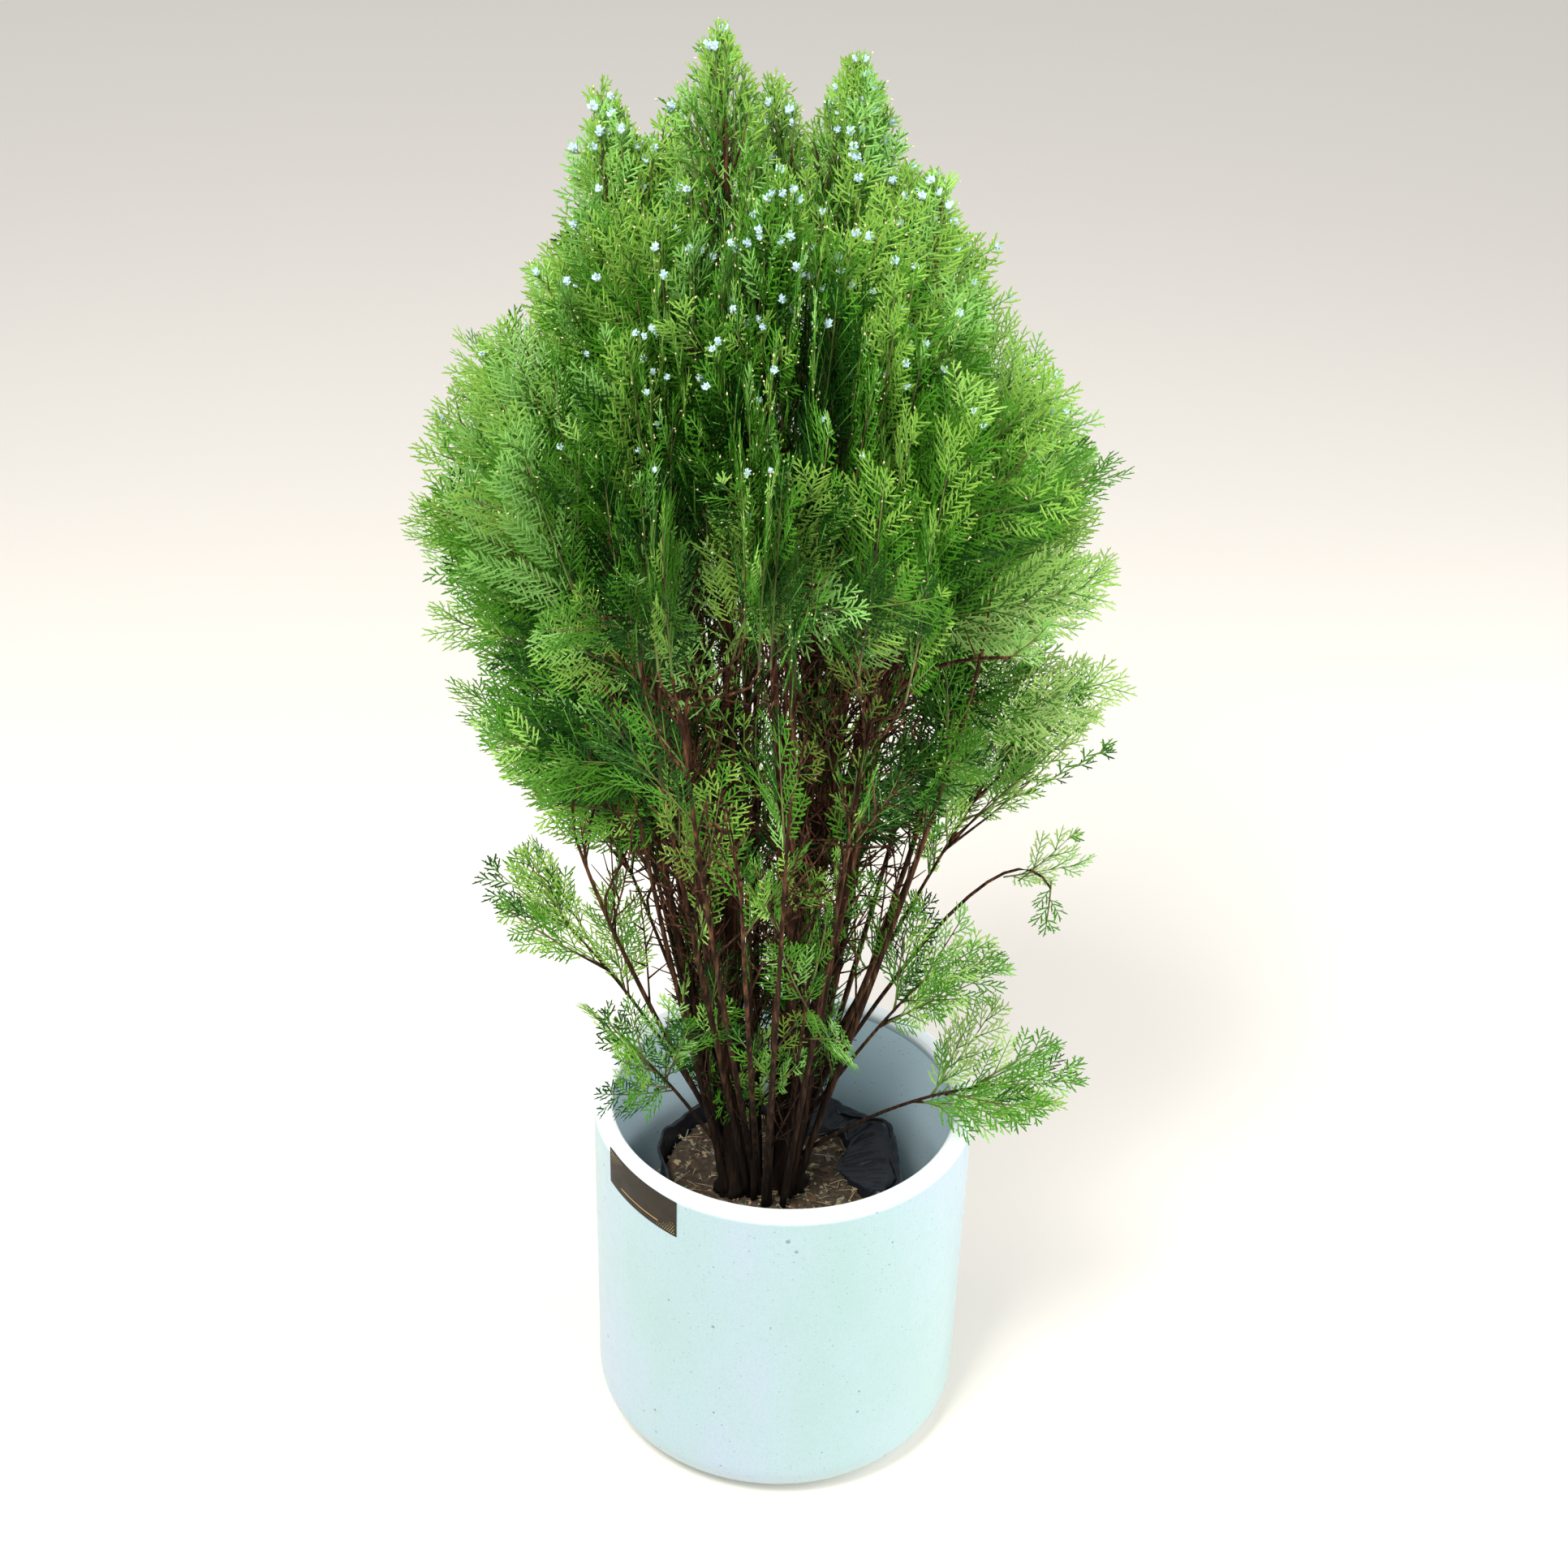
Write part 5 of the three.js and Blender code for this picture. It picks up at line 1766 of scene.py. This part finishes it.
def axis_tubes(name, axes, sizes, steps, sides, material, last=1.0):
    paths = np.stack([axes.points(s) for s in np.linspace(0, last, steps)], axis=1)
    return plain_tubes(name, paths, tapered(sizes, len(axes), steps), sides, material)


def twiglet_length(whole, share):
    return 8 + whole * 0.3 * (1 - share)


def dead_wood():
    """The dead twigs, each with a few twiglets."""
    main = axes_of(dead_twigs, 42)
    counts = np.maximum(2, np.round(main.length / 22)).astype(int)
    small, _ = children(main, counts, 0.15, 0.95, 48, twiglet_length, 0.1, 0.4, np.random.default_rng(44))
    return axis_tubes("dead_twigs", Axes.joined(main, small), DEAD_WOOD, 4, 4, BARK)


barked("thin_stems", wands, tapered(WAND, len(wands), 26), 8, 0.12)
piece_of(dead_wood())

# %% The axes of plumes and sprays
PLUME_AXIS = dict(root_radius=0.85, tip_radius=0.4)
SPRAY_AXIS = dict(root_radius=0.62, tip_radius=0.4)


def plume_axis_finish():
    f = Finish("rachis", (0.20, 0.26, 0.05), 0.6)
    f.feed("Base Color", f.ramp(f.noise(f.place(), 30, 3), [
        (0.38, (0.08, 0.045, 0.022)), (0.5, (0.15, 0.15, 0.035)), (0.62, (0.11, 0.25, 0.03))]))
    return f.material


spray_axis_finish = leaf_finish("axis", (0.10, 0.27, 0.035))
piece_of(axis_tubes("plume_axes", PLUMES, PLUME_AXIS, 5, 4, plume_axis_finish(), last=0.9))
piece_of(axis_tubes("spray_axes", SPRAYS, SPRAY_AXIS, 2, 3, spray_axis_finish))

# %% [markdown]
# ## Cones
#
# The seed cones are small, fleshy and horned, with a pale blue bloom, and they sit at the ends of the upper
# sprays. The pollen cones are tiny straw-coloured beads on the tips of strands. Both are set out by the same
# Geometry Nodes tree: a lumpy ball drawn out into horns, and a four-sided bead pointed at both ends.

# %% The seed cone and the pollen cone
CONE_RADIUS = 2.15
HORNS = 4


def horned_cone():
    """Rings along +X, in which every second point is drawn out, a little further in each ring."""
    outline = [(0.75, -0.85), (1.0, -0.2), (0.95, 0.4), (0.5, 0.9)]
    sides = HORNS * 2
    rings, angles = rings_of(outline, sides)
    for k, (r, z) in enumerate(outline):
        horn = (np.arange(sides) + k) % 2
        reach = CONE_RADIUS * (r * 0.82 + 0.62 * horn * (k > 0))
        along = CONE_RADIUS * z + 0.6 * horn * k
        rings[k] = np.stack([along, reach * np.cos(angles), reach * np.sin(angles)], axis=1)
    ends = (-CONE_RADIUS * 1.2, 0, 0), (CONE_RADIUS * 1.25, 0, 0)
    return closed_rings("horned_cone", rings, *ends, smooth=False)


def bead():
    """A bead along +X, pointed at both ends."""
    rings, _ = rings_of([(0.65, 0.9)], 4)
    return closed_rings("bead", rings[:, :, [2, 0, 1]], (-0.3, 0, 0), (2.4, 0, 0))


# %% Where the cones sit
SEED_CONES = dict(share=0.24, low=860, rise=240, depth=0.5)
POLLEN_CONES = dict(share=0.09, low=780, rise=260, depth=0.55)


def high_share(points, where):
    """0 below the height where cones begin and 1 in the top of the crown."""
    return np.clip((points[:, 2] - where["low"]) / where["rise"], 0, 1)


def cones():
    pick = np.random.default_rng(61)
    tips = SPRAYS.points(1)
    high = high_share(tips, SEED_CONES)
    wanted = pick.random(len(SPRAYS)) < SEED_CONES["share"] * high ** 1.4
    wanted &= depth_of(tips) > SEED_CONES["depth"]
    s = SPRAYS.pick(wanted)
    aim = unit(s.aim + 0.5 * pick.normal(0, 0.5, (len(s), 3)))
    size = pick.uniform(0.8, 1.15, len(s)) * (0.65 + 0.45 * high[wanted])
    f = Finish("cone", (0.55, 0.70, 0.74), 0.6)
    f.two_tone(320, 2, (0.34, 0.52, 0.60), (0.66, 0.80, 0.85))
    shelf = shelf_of("horned_cone", [horned_cone()])
    settle(set_out("seed_cones", tips[wanted] + s.face * 1.5, aim, s.face, size, shelf, f.material))
    ends = STRANDS.root + STRANDS.aim * (strand_size * form_length - 1)[:, None]
    high = high_share(ends, POLLEN_CONES)
    wanted = pick.random(len(STRANDS)) < POLLEN_CONES["share"] * high
    wanted &= depth_of(ends) > POLLEN_CONES["depth"]
    s = STRANDS.pick(wanted)
    size = pick.uniform(0.8, 1.3, len(s))
    f = Finish("pollen_cone", (0.70, 0.62, 0.30), 0.7)
    f.two_tone(90, 2, (0.55, 0.46, 0.20), (0.80, 0.76, 0.45))
    shelf = shelf_of("bead", [bead()])
    settle(set_out("pollen_cones", ends[wanted], s.aim, s.face, size, shelf, f.material))


cones()

# %% [markdown]
# ## Litter on the soil
#
# Dry flakes, straws, crumbs and bits of old sprays lie on the soil in every direction. Geometry Nodes scatter
# points over the soil's top, and put a scrap on each with a random turn. The scraps come in three colours, so
# the tree runs three times, with a seed of its own each time.

# %% The scraps
SCRAPS = {
    "flake": ([(-4, 0, 0), (-1, -2.2, 0.7), (3.5, -0.6, 0.2), (4.5, 0.4, 0.9), (0, 2.4, 0.9)],
              [(0, 1, 4), (1, 2, 4), (2, 3, 4)]),
    "straw": ([(-11, 0, 0), (-4, 0.55, 0.5), (4, 0.3, 0.9), (12, 0.9, 0.3), (12, 0.2, 0.3), (4, -0.5, 0.7),
               (-4, -0.3, 0.3)],
              [(0, 6, 1), (6, 5, 2, 1), (5, 4, 3, 2)]),
    "crumb": ([(-1.6, -1, 0), (1.5, -1.3, 0.1), (1.7, 1.2, 0), (-1.2, 1.5, 0.1), (0.1, 0, 1.9)],
              [(0, 1, 4), (1, 2, 4), (2, 3, 4), (3, 0, 4)]),
    "fern": ([(0, 0, 0.2), (3, 0.5, 0.5), (5, 3.4, 0.3), (4.6, 0.7, 0.7), (8, 4.2, 0.5), (7, 0.9, 0.9),
              (12, 1.6, 0.6), (7.4, 0.2, 0.8), (9, -3, 0.4), (5, 0, 0.6)],
             [(0, 9, 1), (9, 3, 2, 1), (9, 7, 5, 3), (5, 4, 3), (7, 6, 5), (9, 8, 7)]),
}
SCRAP_SHELF = shelf_of("scrap", [mesh_of(name, *form) for name, form in SCRAPS.items()])

# %% A tree that scatters scraps on upward faces
def scatter_recipe():
    r = Recipe("scatter")
    shelf = r.shelf("Scraps")
    density, seed = r.ask("Density", "NodeSocketFloat"), r.ask("Seed", "NodeSocketInt")
    least_height = r.ask("Least height", "NodeSocketFloat")
    height = r.put("ShaderNodeSeparateXYZ", values={0: r.put("GeometryNodeInputPosition")}, out="Z")
    points = r.put("GeometryNodeDistributePointsOnFaces", values={
        "Mesh": r.given, "Selection": height > least_height, "Density": density, "Seed": seed})
    spin = r.put("FunctionNodeRandomValue", {"data_type": "FLOAT_VECTOR"},
                 {0: (-0.25, -0.25, 0), 1: (0.25, 0.25, 2 * math.pi), "Seed": seed})
    size = r.put("FunctionNodeRandomValue", {"data_type": "FLOAT"}, {2: 0.55, 3: 1.25, "Seed": seed}, "Value")
    r.close(r.put("GeometryNodeInstanceOnPoints", values={
        "Points": points, "Instance": shelf, "Pick Instance": True, "Rotation": spin, "Scale": size}))
    return r


LITTER = [
    dict(name="tan", colour=(0.42, 0.31, 0.17), density=12000.0, seed=3),
    dict(name="brown", colour=(0.11, 0.06, 0.03), density=18000.0, seed=4),
    dict(name="grey", colour=(0.26, 0.26, 0.18), density=5000.0, seed=5),
]


def litter(recipe, name, colour, density, seed):
    """Scraps of one colour on the soil's top. The density is in scraps per square metre."""
    f = Finish(f"litter_{name}", colour, 0.9)
    f.two_tone(130, 2, tuple(c * 0.45 for c in colour), colour)
    piece = recipe.run(linked(f"litter_{name}", soil_piece.data.copy()), {
        "Scraps": SCRAP_SHELF, "Density": density, "Seed": seed, "Least height": (SOIL_TOP - 7) * MM,
        "Finish": f.material})
    settle(piece)


scatter = scatter_recipe()
for own in LITTER:
    litter(scatter, **own)

# %% [markdown]
# ## Dots and line on the plate
#
# The gold dots fill two opposite corners of the plate and thin out away from them. Each is a flat disc of
# eight sides, turned to lie on the plate by the same tree as the strands. The line is a thin strip.

# %% Gold dots and a line
DOTS = dict(step=2.1, radius=0.42, margin=2.5, columns=9, rows=6, proud=0.06)
LINE = dict(half_length=22, steps=24, width=0.7, above_edge=6)


def on_face(along, up):
    """A point just proud of the plate's face."""
    return on_plate(along, up, PLATE["thick"] + DOTS["proud"])


def dot_spots():
    """The place and size of each dot: rows from two opposite corners, smaller and fewer away from them."""
    half_width = PLATE["width"] / 2 - DOTS["margin"]
    half_height = PLATE["height"] / 2 - DOTS["margin"]
    spots = []
    for hand in (-1, 1):
        for i in range(DOTS["columns"]):
            for j in range(DOTS["rows"]):
                away = i / DOTS["columns"] + j / DOTS["rows"]
                along = -hand * (half_width - i * DOTS["step"] - (j % 2) * DOTS["step"] / 2)
                up = hand * (half_height - j * DOTS["step"] * 0.87)
                if away < 0.95:
                    spots.append((along, up, 1.15 - 0.6 * away))
    return spots


def gold_dots():
    f = Finish("gold", (0.62, 0.44, 0.16), 0.35, Metallic=0.6)
    f.sheen(400, 2, spread=0.3, least=0.2)
    angles = np.arange(8) * math.pi / 4
    disc = [(DOTS["radius"] * math.cos(a), DOTS["radius"] * math.sin(a), 0) for a in angles]
    shelf = shelf_of("dot", [mesh_of("dot", disc, [tuple(range(8))])])
    spots = dot_spots()
    places = np.array([on_face(along, up) for along, up, _ in spots])
    aims = unit(np.array([on_face(along + 1, up) for along, up, _ in spots]) - places)
    sizes = [size for _, _, size in spots]
    dots = set_out("gold_dots", places, aims, unit(places * (1, 1, 0)), sizes, shelf, f.material)
    settle(dots)
    foot = -PLATE["height"] / 2 + LINE["above_edge"]
    columns = np.linspace(-LINE["half_length"], LINE["half_length"], LINE["steps"] + 1)
    strip = [on_face(along, foot + up) for along in columns for up in (0, LINE["width"])]
    quads = [(2 * i, 2 * i + 2, 2 * i + 3, 2 * i + 1) for i in range(LINE["steps"])]
    piece_of(mesh_of("plate_line", strip, quads, f.material))


gold_dots()

# %% [markdown]
# ## The frame's box and the plant's box
#
# Before the end the frame's box and the dressed plant's box are set side by side, in one dictionary.

# %% The end
def corners(box):
    return [list(corner) for corner in box]


{"cad": corners(cad_box), "visual": corners(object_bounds())}
triangles = sum(len(p.vertices) - 2 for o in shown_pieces() for p in o.data.polygons)
print("triangles in all:", triangles)
